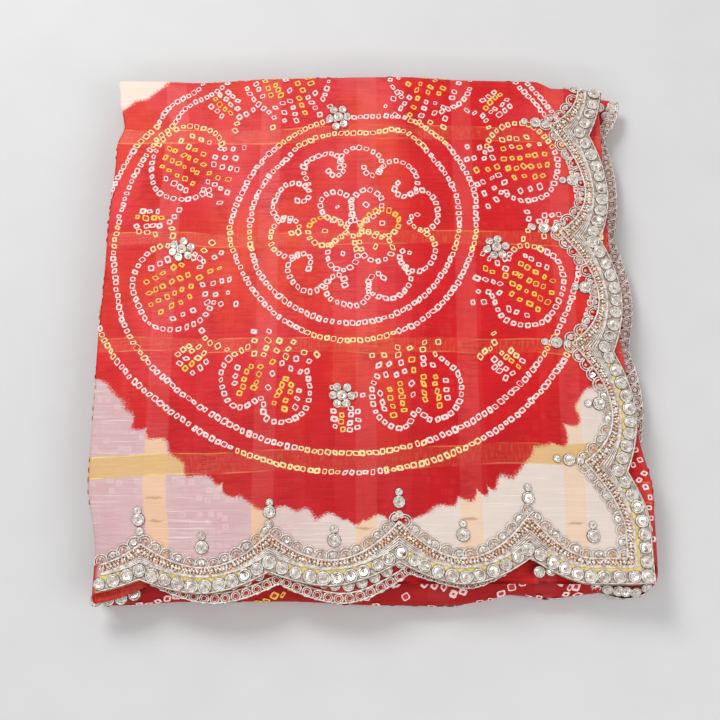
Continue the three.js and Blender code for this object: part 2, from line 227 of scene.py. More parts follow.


# Fine unevenness of the top ply: listed creases and a shallow drawn-up texture
def fine_relief(x, y, z):
    ripples = 0.16 * np.sin(x / 3.1 + 1.4 * np.sin(y / 23)) * np.sin(y / 5.3 + 1.1 * np.sin(x / 17))
    calm = smooth(HALF, HALF - 25, np.abs(x)) * smooth(HALF, HALF - 25, np.abs(y))
    return (FINE_STRENGTH * crease_height(FINE_CREASES, x, y) + ripples) * calm * smooth(18, 22, z)


# Moves points of the neatly folded cloth to where they lie in the settled pack
def settle(x, y, z):
    buried = 1 - z / THICKNESS
    left_ragged = RAGGED * buried * np.sin(y / 42 + z / 4)
    back_ragged = RAGGED * buried * np.sin(x / 47 + z / 5 + 1)
    left = smooth(-60, -HALF, x) * (outline_at(LEFT_SIDE, y) - left_ragged)
    right = smooth(80, HALF, x) * fold_share(z) * outline_at(RIGHT_FOLD, y)
    back = smooth(80, HALF, y) * (outline_at(BACK_SIDE, x) - back_ragged)
    lower = smooth(TOP_LAYER_Z - PITCH, TOP_LAYER_Z - LAYER_PITCH, z)
    front = smooth(-90, -HALF, y) * lower * outline_at(FRONT_FOLD, x)
    height = z * (1 + swell(x, y) / THICKNESS) + looseness(x, y, z) + fine_relief(x, y, z)
    return np.stack([x + right - left, y + back - front, height], axis=-1) + PACK_SHIFT


class Fold:
    """One direction of folding: straight runs (start, end, level) joined by half turns."""

    def __init__(self, *runs):
        self.runs = runs
        self.begins = []
        reached = 0.0
        for k, (start, end, level) in enumerate(runs):
            self.begins.append(reached)
            reached += abs(end - start) + self.turn(k)

    # How long the half turn after a run is
    def turn(self, k):
        last = k + 1 == len(self.runs)
        return 0.0 if last else math.pi * (self.runs[k][2] - self.runs[k + 1][2]) / 2

    # How far along the flat cloth a place on a run lies
    def flat(self, k, place):
        return self.begins[k] + np.abs(np.asarray(place, float) - self.runs[k][0])

    # Where a flat distance lies: place, level, the two parts of the face's normal, and the stage
    def at(self, flat):
        flat = np.asarray(flat, float)
        place, level, out, up, stage = (np.zeros_like(flat) for _ in range(5))
        for k, (start, end, height) in enumerate(self.runs):
            side = 1 if k % 2 == 0 else -1
            direction = math.copysign(1, end - start)
            run = abs(end - start)
            here = flat - self.begins[k]
            on = ((here >= 0) | (k == 0)) & ((here <= run) | (self.turn(k) == 0))
            place[on] = start + direction * here[on]
            level[on] = height
            up[on] = side
            stage[on] = k
            if not self.turn(k):
                break
            radius = self.turn(k) / math.pi
            angle = (here - run) / radius
            turn = (angle > 0) & (angle < math.pi)
            a = angle[turn]
            place[turn] = end + direction * radius * np.sin(a)
            level[turn] = height - radius + radius * np.cos(a)
            out[turn] = side * direction * np.sin(a)
            up[turn] = side * np.cos(a)
            stage[turn] = k + a / math.pi
        return place, level, out, up, stage


ACROSS = Fold(
    (HALF, -ACROSS_TURN_X, PITCH),
    (-ACROSS_TURN_X, ACROSS_TURN_X, 0.0),
    (ACROSS_TURN_X, -HALF + 9, -PITCH),
)
ALONG = Fold(
    (-HALF, ALONG_TURN_Y, TOP_LAYER_Z),
    (ALONG_TURN_Y, -ALONG_TURN_Y, TOP_LAYER_Z - LAYER_PITCH),
    (-ALONG_TURN_Y, HALF - 10, TOP_LAYER_Z - 2 * LAYER_PITCH),
)
FAR_FROM_HEM = 60.0


# Folds flat distances into the neat pack, at an offset from the middle of the sheet. The plan
# coordinates u and v are x and y on the top ply, and run on round the folds.
def fold_up(flat_across, flat_along, offset, cut=False):
    x, level, out, up, ply = ACROSS.at(flat_across)
    y, height, y_out, y_up, layer = ALONG.at(flat_along)
    u = HALF - flat_across
    v = flat_along - HALF
    hem = np.full_like(x, FAR_FROM_HEM)
    if cut:
        side = blended(side_edges(y), layer)
        moved = trimmed(x, TRIM_X, HALF, side)
        first = ply < 0.01
        u = np.where(first, moved, u)
        x = np.where(first, moved, x)
        hem = np.where(first, side - x, hem)
        front = blended(front_edges(x), ply)
        moved = -trimmed(-y, TRIM_Y, HALF, -front)
        top = layer < 0.01
        v = np.where(top, moved, v)
        y = np.where(top, moved, y)
        hem = np.minimum(hem, np.where(top, y - front, FAR_FROM_HEM))
    x = x + out * offset
    w = level + up * offset
    z = height + y_up * w
    thin = (z - SHEET / 2) * THICKNESS / (THICKNESS - SHEET)
    return settle(x, y + y_out * w, thin), u, v, hem


# The outer (side 1) or inner (side -1) face of the cloth at plan coordinates
def cloth_at(u, v, side=1):
    return fold_up(HALF - np.asarray(u, float), np.asarray(v, float) + HALF, side * SHEET / 2)[0]


# Plan coordinates on a lower ply or layer, for places on its run
def ply_u(ply, x):
    return HALF - ACROSS.flat(ply, x)


def layer_v(layer, y):
    return ALONG.flat(layer, y) - HALF


def unit(vectors):
    return vectors / np.linalg.norm(vectors, axis=-1, keepdims=True)


# Point, direction, cross direction and normal on the cloth
def frames(u, v, angle=0.0, side=1):
    u, v, angle = (np.asarray(a, float) for a in np.broadcast_arrays(u, v, angle))
    step = 0.4
    du = unit(cloth_at(u + step, v, side) - cloth_at(u - step, v, side))
    dv = unit(cloth_at(u, v + step, side) - cloth_at(u, v - step, side))
    normal = unit(np.cross(du, dv)) * side
    ahead = unit(du * np.cos(angle)[..., None] + dv * np.sin(angle)[..., None])
    return cloth_at(u, v, side), ahead, unit(np.cross(normal, ahead)), normal


class Tree:
    """A short way to write the nodes of a material or group."""

    def __init__(self, tree):
        self.tree = tree

    def node(self, kind, inputs=(), **settings):
        made = self.tree.nodes.new(kind)
        for name, value in settings.items():
            setattr(made, name, value)
        return self.fill(made, inputs)

    def fill(self, made, inputs):
        for key, value in dict(inputs).items():
            self.feed(made.inputs[key], value)
        return made

    def feed(self, socket, value):
        if isinstance(value, bpy.types.NodeSocket):
            self.tree.links.new(value, socket)
        elif isinstance(value, tuple) and len(value) == 3 and socket.type == "RGBA":
            socket.default_value = (*value, 1)
        else:
            socket.default_value = value

    def math(self, operation, *values, clamp=False):
        return self.node("ShaderNodeMath", enumerate(values), operation=operation, use_clamp=clamp).outputs[0]

    def times(self, a, b):
        return self.math("MULTIPLY", a, b)

    def plus(self, a, b):
        return self.math("ADD", a, b)

    def less(self, a, b):
        return self.math("SUBTRACT", a, b)

    def most(self, a, b):
        return self.math("MAXIMUM", a, b)

    def vector(self, operation, a, b):
        return self.node("ShaderNodeVectorMath", {0: a, 1: b}, operation=operation).outputs["Vector"]

    def alike(self, kind, value):
        return self.node(kind, {0: value, 1: value, 2: value}).outputs[0]

    def x_and_y(self, place):
        return tuple(self.node("ShaderNodeSeparateXYZ", {0: place}).outputs)[:2]

    def blend(self, share, a, b, kind="MIX"):
        inputs = {0: share, 6: a, 7: b}
        return self.node("ShaderNodeMix", inputs, data_type="RGBA", blend_type=kind).outputs[2]

    # Colours laid one over another: mask, strength, colour
    def layers(self, ground, *rows):
        for mask, strength, colour in rows:
            ground = self.blend(self.times(mask, strength), ground, colour)
        return ground

    def ease(self, value, low, high):
        inputs = {"Value": value, "From Min": low, "From Max": high}
        return self.node("ShaderNodeMapRange", inputs, interpolation_type="SMOOTHSTEP").outputs[0]

    def noise(self, place, scale, detail=2.0, rough=0.5):
        inputs = {"Vector": place, "Scale": scale, "Detail": detail, "Roughness": rough}
        return self.node("ShaderNodeTexNoise", inputs).outputs["Fac"]

    # Noise with its own scale across and along
    def streaks(self, place, across, along, detail=2.0, rough=0.5):
        return self.noise(self.vector("MULTIPLY", place, (across, along, 0)), 1.0, detail, rough)

    # A noise turned into a drift to either side
    def drift(self, noise, amount):
        return self.times(self.less(noise, 0.5), amount)

    # A value from a table of places: held to the next place, or eased
    def steps(self, value, rows, low, high, kind):
        made = self.node("ShaderNodeValToRGB", {0: self.math("DIVIDE", self.less(value, low), high - low)})
        ramp = made.color_ramp
        ramp.interpolation = kind
        for k, (place, amount) in enumerate(rows):
            element = ramp.elements[k] if k < 2 else ramp.elements.new(1.0)
            element.position = (place - low) / (high - low)
            element.color = (amount, amount, amount, 1)
        return made.outputs[0]

    def use(self, group, place):
        return self.node("ShaderNodeGroup", {"Place": place}, node_tree=group).outputs

    def bump(self, height, strength, distance):
        inputs = {"Height": height, "Strength": strength, "Distance": distance}
        return self.node("ShaderNodeBump", inputs).outputs[0]

    # The object's own coordinates
    def here(self):
        return self.node("ShaderNodeTexCoord").outputs["Object"]


# A node group over the plan in millimetres, with number outputs
def new_group(name, *outputs):
    group = bpy.data.node_groups.new(name, "ShaderNodeTree")
    group.interface.new_socket("Place", in_out="INPUT", socket_type="NodeSocketVector")
    for label in outputs:
        group.interface.new_socket(label, in_out="OUTPUT", socket_type="NodeSocketFloat")
    t = Tree(group)
    return group, t, t.node("NodeGroupInput").outputs["Place"], t.node("NodeGroupOutput").inputs


# Slubs, drawn threads and short drawn-up creases of the weave
def make_weave_group():
    group, t, place, out = new_group("slub_weave", "Tone", "Slub", "Crease", "Height")
    along = t.streaks(place, 0.03, 1.1, 3.0, 0.6)
    across = t.streaks(place, 1.3, 0.02)
    crinkle = t.streaks(place, 0.1, 0.42, 3.0, 0.55)
    mottle = t.noise(place, 0.055, 3.0, 0.55)
    tone = t.plus(t.times(along, 0.5), t.times(across, 0.1))
    t.feed(out["Tone"], t.plus(tone, t.times(mottle, 0.4)))
    t.feed(out["Slub"], t.ease(t.streaks(place, 0.022, 0.8, 2.0, 0.6), 0.56, 0.72))
    line = t.ease(t.math("ABSOLUTE", t.less(t.streaks(place, 0.045, 0.2), 0.5)), 0.09, 0.0)
    crease = t.times(line, t.ease(t.streaks(place, 0.05, 0.018, 1.0), 0.5, 0.64))
    t.feed(out["Crease"], crease)
    height = t.plus(t.plus(t.times(along, 0.3), t.times(across, 0.12)), t.times(crinkle, 0.9))
    t.feed(out["Height"], t.less(height, t.times(crease, 0.35)))
    return group


# Woven bands: the middle of one, and how far apart they are. The level ones waver, slope near the
# front and are narrower where the dye drew them in.
UPRIGHT_BANDS = (-3.2, 60.6)
LEVEL_BANDS = (-15.8, 68.8)
BAND_HALF = 6.1
BAND_DRAWN_IN = 1.9
DRAWN_IN_Y = (-84.0, -50.0)
BAND_SLOPE = 0.042
SLOPING_Y = (-20.0, -84.0)
BAND_WAVER = {"Upright": 3.0, "Level": 11.0}


def make_band_group():
    group, t, place, out = new_group("woven_bands", "Upright", "Level", "Line", "Ticks")
    x, y = t.x_and_y(place)
    t.feed(out["Ticks"], t.ease(t.streaks(place, 0.9, 0.16), 0.5, 0.64))
    waver = t.less(t.streaks(place, 0.012, 0.004), 0.5)
    upright = t.plus(x, t.times(waver, BAND_WAVER["Upright"]))
    slope = t.times(t.times(x, BAND_SLOPE), t.ease(y, *SLOPING_Y))
    level = t.less(t.plus(y, t.times(waver, BAND_WAVER["Level"])), slope)
    level_half = t.less(BAND_HALF, t.times(t.ease(y, *DRAWN_IN_Y), BAND_DRAWN_IN))
    bands = (("Upright", upright, UPRIGHT_BANDS, BAND_HALF), ("Level", level, LEVEL_BANDS, level_half))
    for name, value, (middle, pitch), half in bands:
        cell = t.math("FRACT", t.plus(t.math("DIVIDE", t.less(value, middle), pitch), 0.5))
        away = t.less(t.times(t.math("ABSOLUTE", t.less(cell, 0.5)), pitch), half)
        t.feed(out[name], t.ease(away, 0.8, -0.5))
    broken = t.ease(t.streaks(place, 0.03, 0.15), 0.44, 0.6)
    t.feed(out["Line"], t.times(t.ease(t.math("ABSOLUTE", away), 0.55, 0.2), broken))
    return group


# How far the dye reached about the middle of the medallion: angle in degrees, radius
MEDALLION = (-11.0, 62.0)
DYE_REACH = [
    (-180, 172), (-160, 188), (-149, 187), (-144, 176), (-133, 179), (-120, 180), (-110, 184), (-100, 183),
    (-80, 184), (-55, 181), (-38, 178), (-20, 178), (0, 182), (20, 215), (40, 245), (90, 235), (120, 160),
    (137, 150), (145, 156), (153, 166), (170, 185), (180, 188),
]
DYE_FURTHEST = 250.0
LOBE_TURNS = 27.0
LOBE_DRIFT = 24.0
LOBE_HEIGHT = 6.4
CLOUDING = 15.0
FRINGE = 9.0


def make_dye_group():
    group, t, place, out = new_group("dye_edge", "Dyed")
    arm = t.vector("SUBTRACT", place, (*MEDALLION, 0))
    x, y = t.x_and_y(arm)
    angle = t.math("ARCTAN2", y, x)
    radius = t.math("SQRT", t.plus(t.math("POWER", x, 2.0), t.math("POWER", y, 2.0)))
    share = t.plus(t.math("DIVIDE", angle, 2 * math.pi), 0.5)
    curve = t.node("ShaderNodeFloatCurve", {"Factor": 1.0, "Value": share})
    points = curve.mapping.curves[0].points
    rows = [((a + 180) / 360, r / DYE_FURTHEST) for a, r in DYE_REACH]
    for row in rows[1:-1]:
        points.new(*row)
    points[0].location = rows[0]
    points[-1].location = rows[-1]
    curve.mapping.update()
    reach = t.times(curve.outputs[0], DYE_FURTHEST)
    around = t.vector("DIVIDE", arm, t.alike("ShaderNodeCombineXYZ", radius))
    phase = t.plus(t.times(angle, LOBE_TURNS), t.times(t.noise(around, 4.0, 1.0), LOBE_DRIFT))
    height = t.times(t.ease(t.noise(around, 9.0, 0.0), 0.3, 0.65), LOBE_HEIGHT)
    lobe = t.times(t.math("POWER", t.math("ABSOLUTE", t.math("SINE", phase)), 0.8), height)
    lobes = t.less(t.plus(lobe, t.drift(t.noise(place, 0.05, 1.0), CLOUDING)), 2.6)
    ragged = t.drift(t.streaks(place, 0.8, 1.7, 3.0, 0.75), FRINGE)
    inside = t.plus(t.plus(t.less(reach, radius), lobes), ragged)
    x, y = t.x_and_y(place)
    beyond = t.most(t.ease(y, 176.0, 184.0), t.ease(x, -166.0, -172.0))
    corner = t.math("MINIMUM", t.ease(y, -140.0, -146.0), t.ease(x, -157.0, -161.0))
    t.feed(out["Dyed"], t.most(t.ease(inside, -0.9, 1.3), t.most(beyond, corner)))
    return group


# Short brown puckers across the upright bands: x and y of each, and half its width
PUCKERS = [
    (-124.6, -108.2, 6.5), (-124.4, -121.5, 5.5), (-5.2, -125.5, 6.0), (55.9, -120.3, 6.5),
    (116.9, -122.6, 6.5),
]


def make_pucker_group():
    group, t, place, out = new_group("short_puckers", "Pucker")
    waver = t.drift(t.noise(place, 0.25), 2.4)
    moved = t.vector("ADD", place, t.node("ShaderNodeCombineXYZ", {1: waver}).outputs[0])
    total = 0.0
    for x, y, reach in PUCKERS:
        arm = t.vector("MULTIPLY", t.vector("SUBTRACT", moved, (x, y, 0)), (1 / reach, 1.0, 0))
        far = t.node("ShaderNodeVectorMath", {0: arm}, operation="LENGTH").outputs["Value"]
        total = t.most(total, t.ease(far, 1.1, 0.35))
    t.feed(out["Pucker"], total)
    return group


# Small uneven rings, for the tied spots of the plies below that show through
def make_ghost_group():
    group, t, place, out = new_group("ghost_spots", "Spots")
    inputs = {"Vector": place, "Scale": 0.2, "Randomness": 0.6}
    far = t.node("ShaderNodeTexVoronoi", inputs, distance="CHEBYCHEV").outputs["Distance"]
    ring = t.times(t.ease(far, 0.06, 0.2), t.ease(far, 0.4, 0.26))
    t.feed(out["Spots"], t.times(ring, t.ease(t.noise(place, 0.028), 0.46, 0.58)))
    return group


# Colours as they look in daylight
def daylight(red, green, blue):
    return tuple(c / 12.92 if c <= 0.04045 else ((c + 0.055) / 1.055) ** 2.4 for c in (red, green, blue))


CRIMSON = daylight(0.80, 0.045, 0.09)
DEEP_RED = daylight(0.66, 0.02, 0.06)
CORAL = daylight(0.88, 0.31, 0.32)
ORANGE = daylight(0.87, 0.29, 0.22)
LEVEL_RED = daylight(0.88, 0.36, 0.26)
UPRIGHT_RED = daylight(0.90, 0.40, 0.38)
FAINT_SPOT = daylight(0.95, 0.5, 0.45)
DRAWN_UP = daylight(0.76, 0.42, 0.26)
CREAM = daylight(0.86, 0.80, 0.76)
MAUVE = daylight(0.80, 0.64, 0.66)
BACK_LIT_CREAM = daylight(0.96, 0.86, 0.80)
PALE_SPOT = daylight(0.97, 0.88, 0.88)
SLUB_WHITE = daylight(0.95, 0.90, 0.87)
PEACH = daylight(0.91, 0.75, 0.58)
GOLD = daylight(0.84, 0.68, 0.45)
BROWN = daylight(0.68, 0.49, 0.36)
HEM = daylight(0.86, 0.74, 0.68)
BRIGHT_GOLD = daylight(0.90, 0.80, 0.46)
DULL_GOLD = daylight(0.88, 0.60, 0.32)

# Where the red changes tone from one woven column to the next: place, share of coral
COLUMN_ENDS = (-165.0, 165.0)
COLUMN_TONES = [
    (-165, 0.45), (-146, 0.7), (-129, 0.35), (-104, 0.6), (-90, 0.95), (-66, 0.75), (-40, 0.35), (-24, 1.0),
    (14, 0.6), (22, 0.25), (31, 0.0), (55, 0.25), (66, 0.0), (98, 0.3), (118, 0.5), (130, 0.25),
]
# Painted shade: where the red deepens towards the front of the top ply, and round the lower fold
TOWARDS_FRONT = (-30.0, -95.0)
ROUND_THE_FOLD = (300.0, 460.0)


def new_material(name):
    material = bpy.data.materials.new(name)
    material.use_nodes = True
    return material, Tree(material.node_tree), material.node_tree.nodes["Principled BSDF"]


WEAVE = make_weave_group()
BANDS = make_band_group()
DYE = make_dye_group()
GHOSTS = make_ghost_group()
PUCKER = make_pucker_group()


# The dyed part: crimson, with coral columns that soften towards the back. Less coral and a deeper red towards
# the front and round the lower fold are painted shade.
def dyed_red(t, place, weave, bands, ghosts):
    x, y = t.x_and_y(place)
    across = t.plus(x, t.drift(t.noise(place, 0.02), 9.0))
    held, eased = (t.steps(across, COLUMN_TONES, *COLUMN_ENDS, kind) for kind in ("CONSTANT", "B_SPLINE"))
    columns = t.blend(t.times(t.ease(y, -40.0, 50.0), 0.75), held, eased)
    patches = t.ease(t.streaks(place, 0.02, 0.012), 0.32, 0.66)
    # Painted shade: less coral towards the front
    higher = t.plus(0.35, t.times(t.ease(y, -75.0, 30.0), 0.65))
    coral = t.times(columns, t.plus(0.45, t.times(patches, 0.75)))
    coral = t.math("MULTIPLY", coral, higher, clamp=True)
    warmer = t.ease(t.noise(place, 0.014, 1.0), 0.44, 0.58)
    # Painted shade towards the front and round the lower fold
    lower = t.most(t.times(t.ease(y, *TOWARDS_FRONT), 0.3), t.ease(y, *ROUND_THE_FOLD))
    return t.layers(
        t.blend(coral, CRIMSON, t.blend(warmer, CORAL, ORANGE)),
        (t.ease(weave["Tone"], 0.53, 0.38), 0.3, DEEP_RED),
        (bands["Level"], 0.2, LEVEL_RED),
        (t.times(bands["Ticks"], bands["Level"]), 0.4, DRAWN_UP),
        (bands["Upright"], 0.22, UPRIGHT_RED),
        (ghosts, 0.05, FAINT_SPOT),
        # Painted shade: the weave's crease lines are drawn in a darker red
        (weave["Crease"], 0.32, DEEP_RED),
        (lower, 0.8, DEEP_RED),
    )


# The undyed corners: cream, mauve at the left where red plies show through, with gold bands. The cream turns
# paler towards the back as painted light.
def undyed_pale(t, place, weave, bands, ghosts):
    x, y = t.x_and_y(place)
    pink = t.times(t.ease(x, 10.0, -90.0), t.ease(weave["Tone"], 0.2, 0.6))
    pink = t.times(pink, t.less(1.0, t.times(t.ease(y, 20.0, 90.0), 0.8)))
    return t.layers(
        t.blend(pink, CREAM, MAUVE),
        # Painted light: paler cream towards the back
        (t.ease(y, 110.0, 150.0), 0.8, BACK_LIT_CREAM),
        (t.times(ghosts, pink), 0.24, PALE_SPOT),
        (weave["Slub"], 0.5, SLUB_WHITE),
        (bands["Upright"], t.less(0.76, t.times(t.ease(x, -100.0, 120.0), 0.3)), PEACH),
        (bands["Level"], 0.9, GOLD),
        (t.use(PUCKER, place)["Pucker"], 0.6, BROWN),
    )


def cloth_material():
    material, t, shader = new_material("tie_dyed_cloth")
    plan = t.node("ShaderNodeUVMap", uv_map="plan").outputs[0]
    place = t.vector("MULTIPLY", plan, (1000.0, 1000.0, 0.0))
    weave = t.use(WEAVE, place)
    bands = t.use(BANDS, place)
    dyed = t.use(DYE, place)["Dyed"]
    ghosts = t.use(GHOSTS, place)["Spots"]
    y = t.x_and_y(place)[1]
    pale, red = (paint(t, place, weave, bands, ghosts) for paint in (undyed_pale, dyed_red))
    hem = t.ease(t.node("ShaderNodeAttribute", attribute_name="hem").outputs["Fac"], 2.6, 1.2)
    ground = t.blend(t.times(hem, t.ease(y, 160.0, 170.0)), t.blend(dyed, pale, red), HEM)
    line = t.times(bands["Line"], t.less(0.95, t.times(dyed, 0.45)))
    ground = t.blend(line, ground, t.blend(dyed, BRIGHT_GOLD, DULL_GOLD))
    # Painted shade: the cloth darkens round the lower fold, and the dyed part towards the front
    below = t.times(t.ease(y, *ROUND_THE_FOLD), 0.1)
    below = t.plus(below, t.times(t.times(t.ease(y, *TOWARDS_FRONT), dyed), 0.08))
    shade = t.less(t.plus(0.84, t.times(weave["Tone"], 0.28)), below)
    ground = t.blend(1.0, ground, t.alike("ShaderNodeCombineColor", shade), "MULTIPLY")
    t.fill(shader, {
        "Base Color": ground,
        "Roughness": t.less(0.66, t.times(t.most(bands["Level"], bands["Upright"]), 0.2)),
        "Metallic": t.times(line, 0.5),
        "Specular IOR Level": 0.22,
        "Sheen Weight": 0.06,
        "Sheen Roughness": 0.4,
        "Normal": t.bump(weave["Height"], 0.6, 0.0008),
    })
    return material


# A tied spot: undyed cloth, a little uneven
def spot_material(name, colour, shade):
    material, t, shader = new_material(name)
    patchy = t.ease(t.noise(t.here(), 900.0), 0.42, 0.66)
    t.fill(shader, {"Base Color": t.blend(patchy, daylight(*colour), daylight(*shade)), "Roughness": 0.7})
    return material


def metal_material(name, colour, dark, rough, metallic, grain):
    material, t, shader = new_material(name)
    # Patches of the darker colour: wear, and painted glint contrast, mostly on the sequins
    wear_and_glints = t.ease(t.noise(t.here(), grain * 0.3), 0.35, 0.7)
    fine = t.noise(t.here(), grain, 1.0)
    t.fill(shader, {
        "Base Color": t.blend(wear_and_glints, daylight(*colour), daylight(*dark)),
        "Roughness": t.plus(rough, t.times(fine, 0.2)),
        "Metallic": metallic,
        "Normal": t.bump(fine, 0.5, 0.0001),
    })
    return material


CLOTH = cloth_material()
# Name, colour, colour in the shade
SPOTS = [spot_material(*row) for row in (
    ("undyed_spot", (0.97, 0.89, 0.87), (0.95, 0.74, 0.72)),
    ("cream_spot", (0.97, 0.88, 0.66), (0.94, 0.78, 0.48)),
    ("yellow_spot", (0.97, 0.80, 0.34), (0.94, 0.68, 0.26)),
    ("dyed_middle", (0.80, 0.16, 0.17), (0.72, 0.1, 0.12)),
)]
WHITE_SPOT, CREAM_SPOT, YELLOW_SPOT, RED_SPOT = range(len(SPOTS))
# Name, colour, darker colour of the patches (wear, and on the sequins painted dull reflections between
# glints), roughness, share of metal, grain
STITCHES = [metal_material(*row) for row in (
    ("silver_sequin", (1.0, 0.99, 0.97), (0.80, 0.75, 0.71), 0.14, 0.6, 1500.0),
    ("silver_thread", (0.92, 0.89, 0.86), (0.74, 0.69, 0.65), 0.38, 0.35, 1400.0),
    ("silver_bead", (0.95, 0.92, 0.89), (0.78, 0.73, 0.68), 0.22, 0.6, 1400.0),
    ("copper_bead", (0.93, 0.78, 0.68), (0.78, 0.58, 0.46), 0.24, 0.5, 1400.0),
    # The copper-brown ground under the bead rows: its own colour, darkened in part as painted shade between
    # the beads
    ("copper_ground_and_shade", (0.82, 0.70, 0.61), (0.60, 0.47, 0.39), 0.5, 0.15, 2400.0),
    ("silver_ground", (0.78, 0.71, 0.66), (0.54, 0.46, 0.41), 0.5, 0.15, 2400.0),
    ("gold_edge", (0.90, 0.83, 0.50), (0.80, 0.70, 0.40), 0.45, 0.2, 2200.0),
    # The dark disc under each sequin is painted shadow, showing dark round the ring and cup
    ("sequin_painted_shadow", (0.42, 0.33, 0.29), (0.30, 0.22, 0.19), 0.6, 0.1, 1400.0),
)]
SEQUIN, CORD, SILVER_BEAD, COPPER_BEAD = range(4)
COPPER_GROUND_AND_SHADE, SILVER_GROUND, EDGE_GOLD, PAINTED_SHADOW = range(4, 8)


# Quads of a grid of points, closed round in either direction
def grid_quads(rows, columns, round_rows=False, round_columns=False):
    i = np.arange(rows if round_rows else rows - 1)[:, None]
    j = np.arange(columns if round_columns else columns - 1)[None]
    nxt_i = (i + 1) % rows
    nxt_j = (j + 1) % columns
    corners = [i * columns + j, nxt_i * columns + j, nxt_i * columns + nxt_j, i * columns + nxt_j]
    return np.stack(np.broadcast_arrays(*corners), -1).reshape(-1, 4)


# An object put into the scene
def linked(name, data):
    made = bpy.data.objects.new(name, data)
    bpy.context.scene.collection.objects.link(made)
    return made


def make_object(name, points, quads, materials, indices):
    mesh = bpy.data.meshes.new(name)
    mesh.from_pydata((points * MM).tolist(), [], quads.tolist())
    for material in materials:
        mesh.materials.append(material)
    mesh.polygons.foreach_set("material_index", indices.astype(np.int32))
    mesh.polygons.foreach_set("use_smooth", np.ones(len(mesh.polygons), bool))
    mesh.update()
    made = linked(name, mesh)
    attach(made, "root")
    return made


# Points at distances along the directions of each frame: ahead, beside and above
def laid(where, *distances):
    points = where[0][:, None]
    for distance, way in zip(distances, where[1:]):
        points = points + distance[..., None] * way[:, None]
    return points


CORD_TWIST = 1.1
CORD_SIDES = 6
CORD_STEP = 0.8


class Stitching:
    """Gathers the small parts of one piece into one mesh. A part's finish is its place in the
    piece's list of materials."""

    def __init__(self, name, materials, slot):
        self.name, self.materials, self.slot = name, materials, slot
        self.points, self.quads, self.finishes = [], [], []
        self.count = 0

    def add(self, points, quads, finish):
        self.points.append(points.reshape(-1, 3))
        self.quads.append(quads + self.count)
        self.finishes.append(np.broadcast_to(finish, len(quads)))
        self.count += points.size // 3

    # Copies of one template, with their points already in place
    def add_copies(self, points, quads, finish):
        number, size = points.shape[:2]
        copies = (np.arange(number) * size)[:, None, None] + quads[None]
        self.add(points, copies.reshape(-1, 4), np.tile(np.broadcast_to(finish, len(quads)), number))

    # Templates laid on each frame. Parts: template, finish, size, tilt, rise
    def scatter(self, where, parts, size=1.0):
        number = len(where[0])
        for (shape, quads), finish, share, tilt, rise in parts:
            lean = vary(1, (number, 2, 1)) * tilt
            across = np.broadcast_to(np.asarray(size * share, float), (number,))[:, None]
            a, b, c = (shape[None, :, k] * across for k in range(3))
            self.add_copies(laid(where, a, b, c + a * lean[:, 0] + b * lean[:, 1] + rise), quads, finish)

    # A twisted cord along a path of frames, thinner at its ends
    def cord(self, where, thick, rise):
        here, _, _, normal = where
        tangent = unit(np.gradient(here, axis=0))
        beside = unit(np.cross(normal, tangent))
        number = len(here)
        section = 2 * np.pi * np.arange(CORD_SIDES) / CORD_SIDES
        radius = thick * (1 + 0.24 * np.cos(2 * section[None] - CORD_TWIST * np.arange(number)[:, None]))
        radius = radius * np.where(np.isin(np.arange(number), [0, number - 1]), 0.35, 1)[:, None]
        up = np.cross(tangent, beside)
        points = laid((here, beside, up), radius * np.cos(section), rise + radius * np.sin(section))
        self.add(points, grid_quads(number, CORD_SIDES, round_columns=True)[:, ::-1], CORD)

    def build(self):
        points, quads, finishes = (np.concatenate(part) for part in (self.points, self.quads, self.finishes))
        return make_object(self.name, points, quads, self.materials, finishes)



# Quads that fill the last ring of a shape
def last_ring(ring, sides):
    last = ring * sides
    return [(last, last + 2 * k - 1, last + 2 * k, last + 2 * k + 1) for k in range(1, sides // 2)]


# A turned shape from its profile of radius and height, on a circle or another outline
def turned(profile, sides, outline=None):
    if outline is None:
        angle = 2 * np.pi * np.arange(sides) / sides
        outline = np.stack([np.cos(angle), np.sin(angle)], -1)
    rings = [np.column_stack([outline * r, np.full(sides, float(z))]) for r, z in profile]
    quads = grid_quads(len(profile), sides, round_columns=True)[:, ::-1]
    return np.concatenate(rings), np.concatenate([quads, last_ring(len(profile) - 1, sides)])


# A coil of thread round a middle, or along an arc, its strands showing as swellings
def coil(radius, thick, stations=18, arc=None):
    sides = 5
    around = 2 * np.pi * np.arange(stations) / stations if arc is None else np.linspace(*arc, stations)
    section = 2 * np.pi * np.arange(sides) / sides
    swollen = thick * (1 + 0.25 * np.where(np.arange(stations) % 2, 1, -1))[:, None]
    reach = radius + swollen * np.cos(section)
    x, y = reach * np.cos(around)[:, None], reach * np.sin(around)[:, None]
    points = np.stack([x, y, thick + swollen * np.sin(section)], -1)
    return points.reshape(-1, 3), grid_quads(stations, sides, arc is None, True)


ARC = (math.radians(-20), math.radians(200))
BEAD = turned([(0.55, 0.1), (0.98, 0.55), (0.98, 1.05), (0.5, 1.6)], 6)
SEQUIN_CUP = turned([(1.0, 0.0), (0.96, 0.26), (0.82, 0.32), (0.62, 0.1), (0.42, 0.24), (0.26, 0.04)], 12)
# A dark disc under each sequin, wider than its ring: painted shadow round the ring and cup
SHADOW_DISC = turned([(1.27, -0.02), (1.2, 0.1), (0.3, 0.1)], 12)
RING = coil(1.0, 0.18)
OUTER_ARC = coil(1.0, 0.1, 17, ARC)
INNER_ARC = coil(0.66, 0.09, 13, ARC)

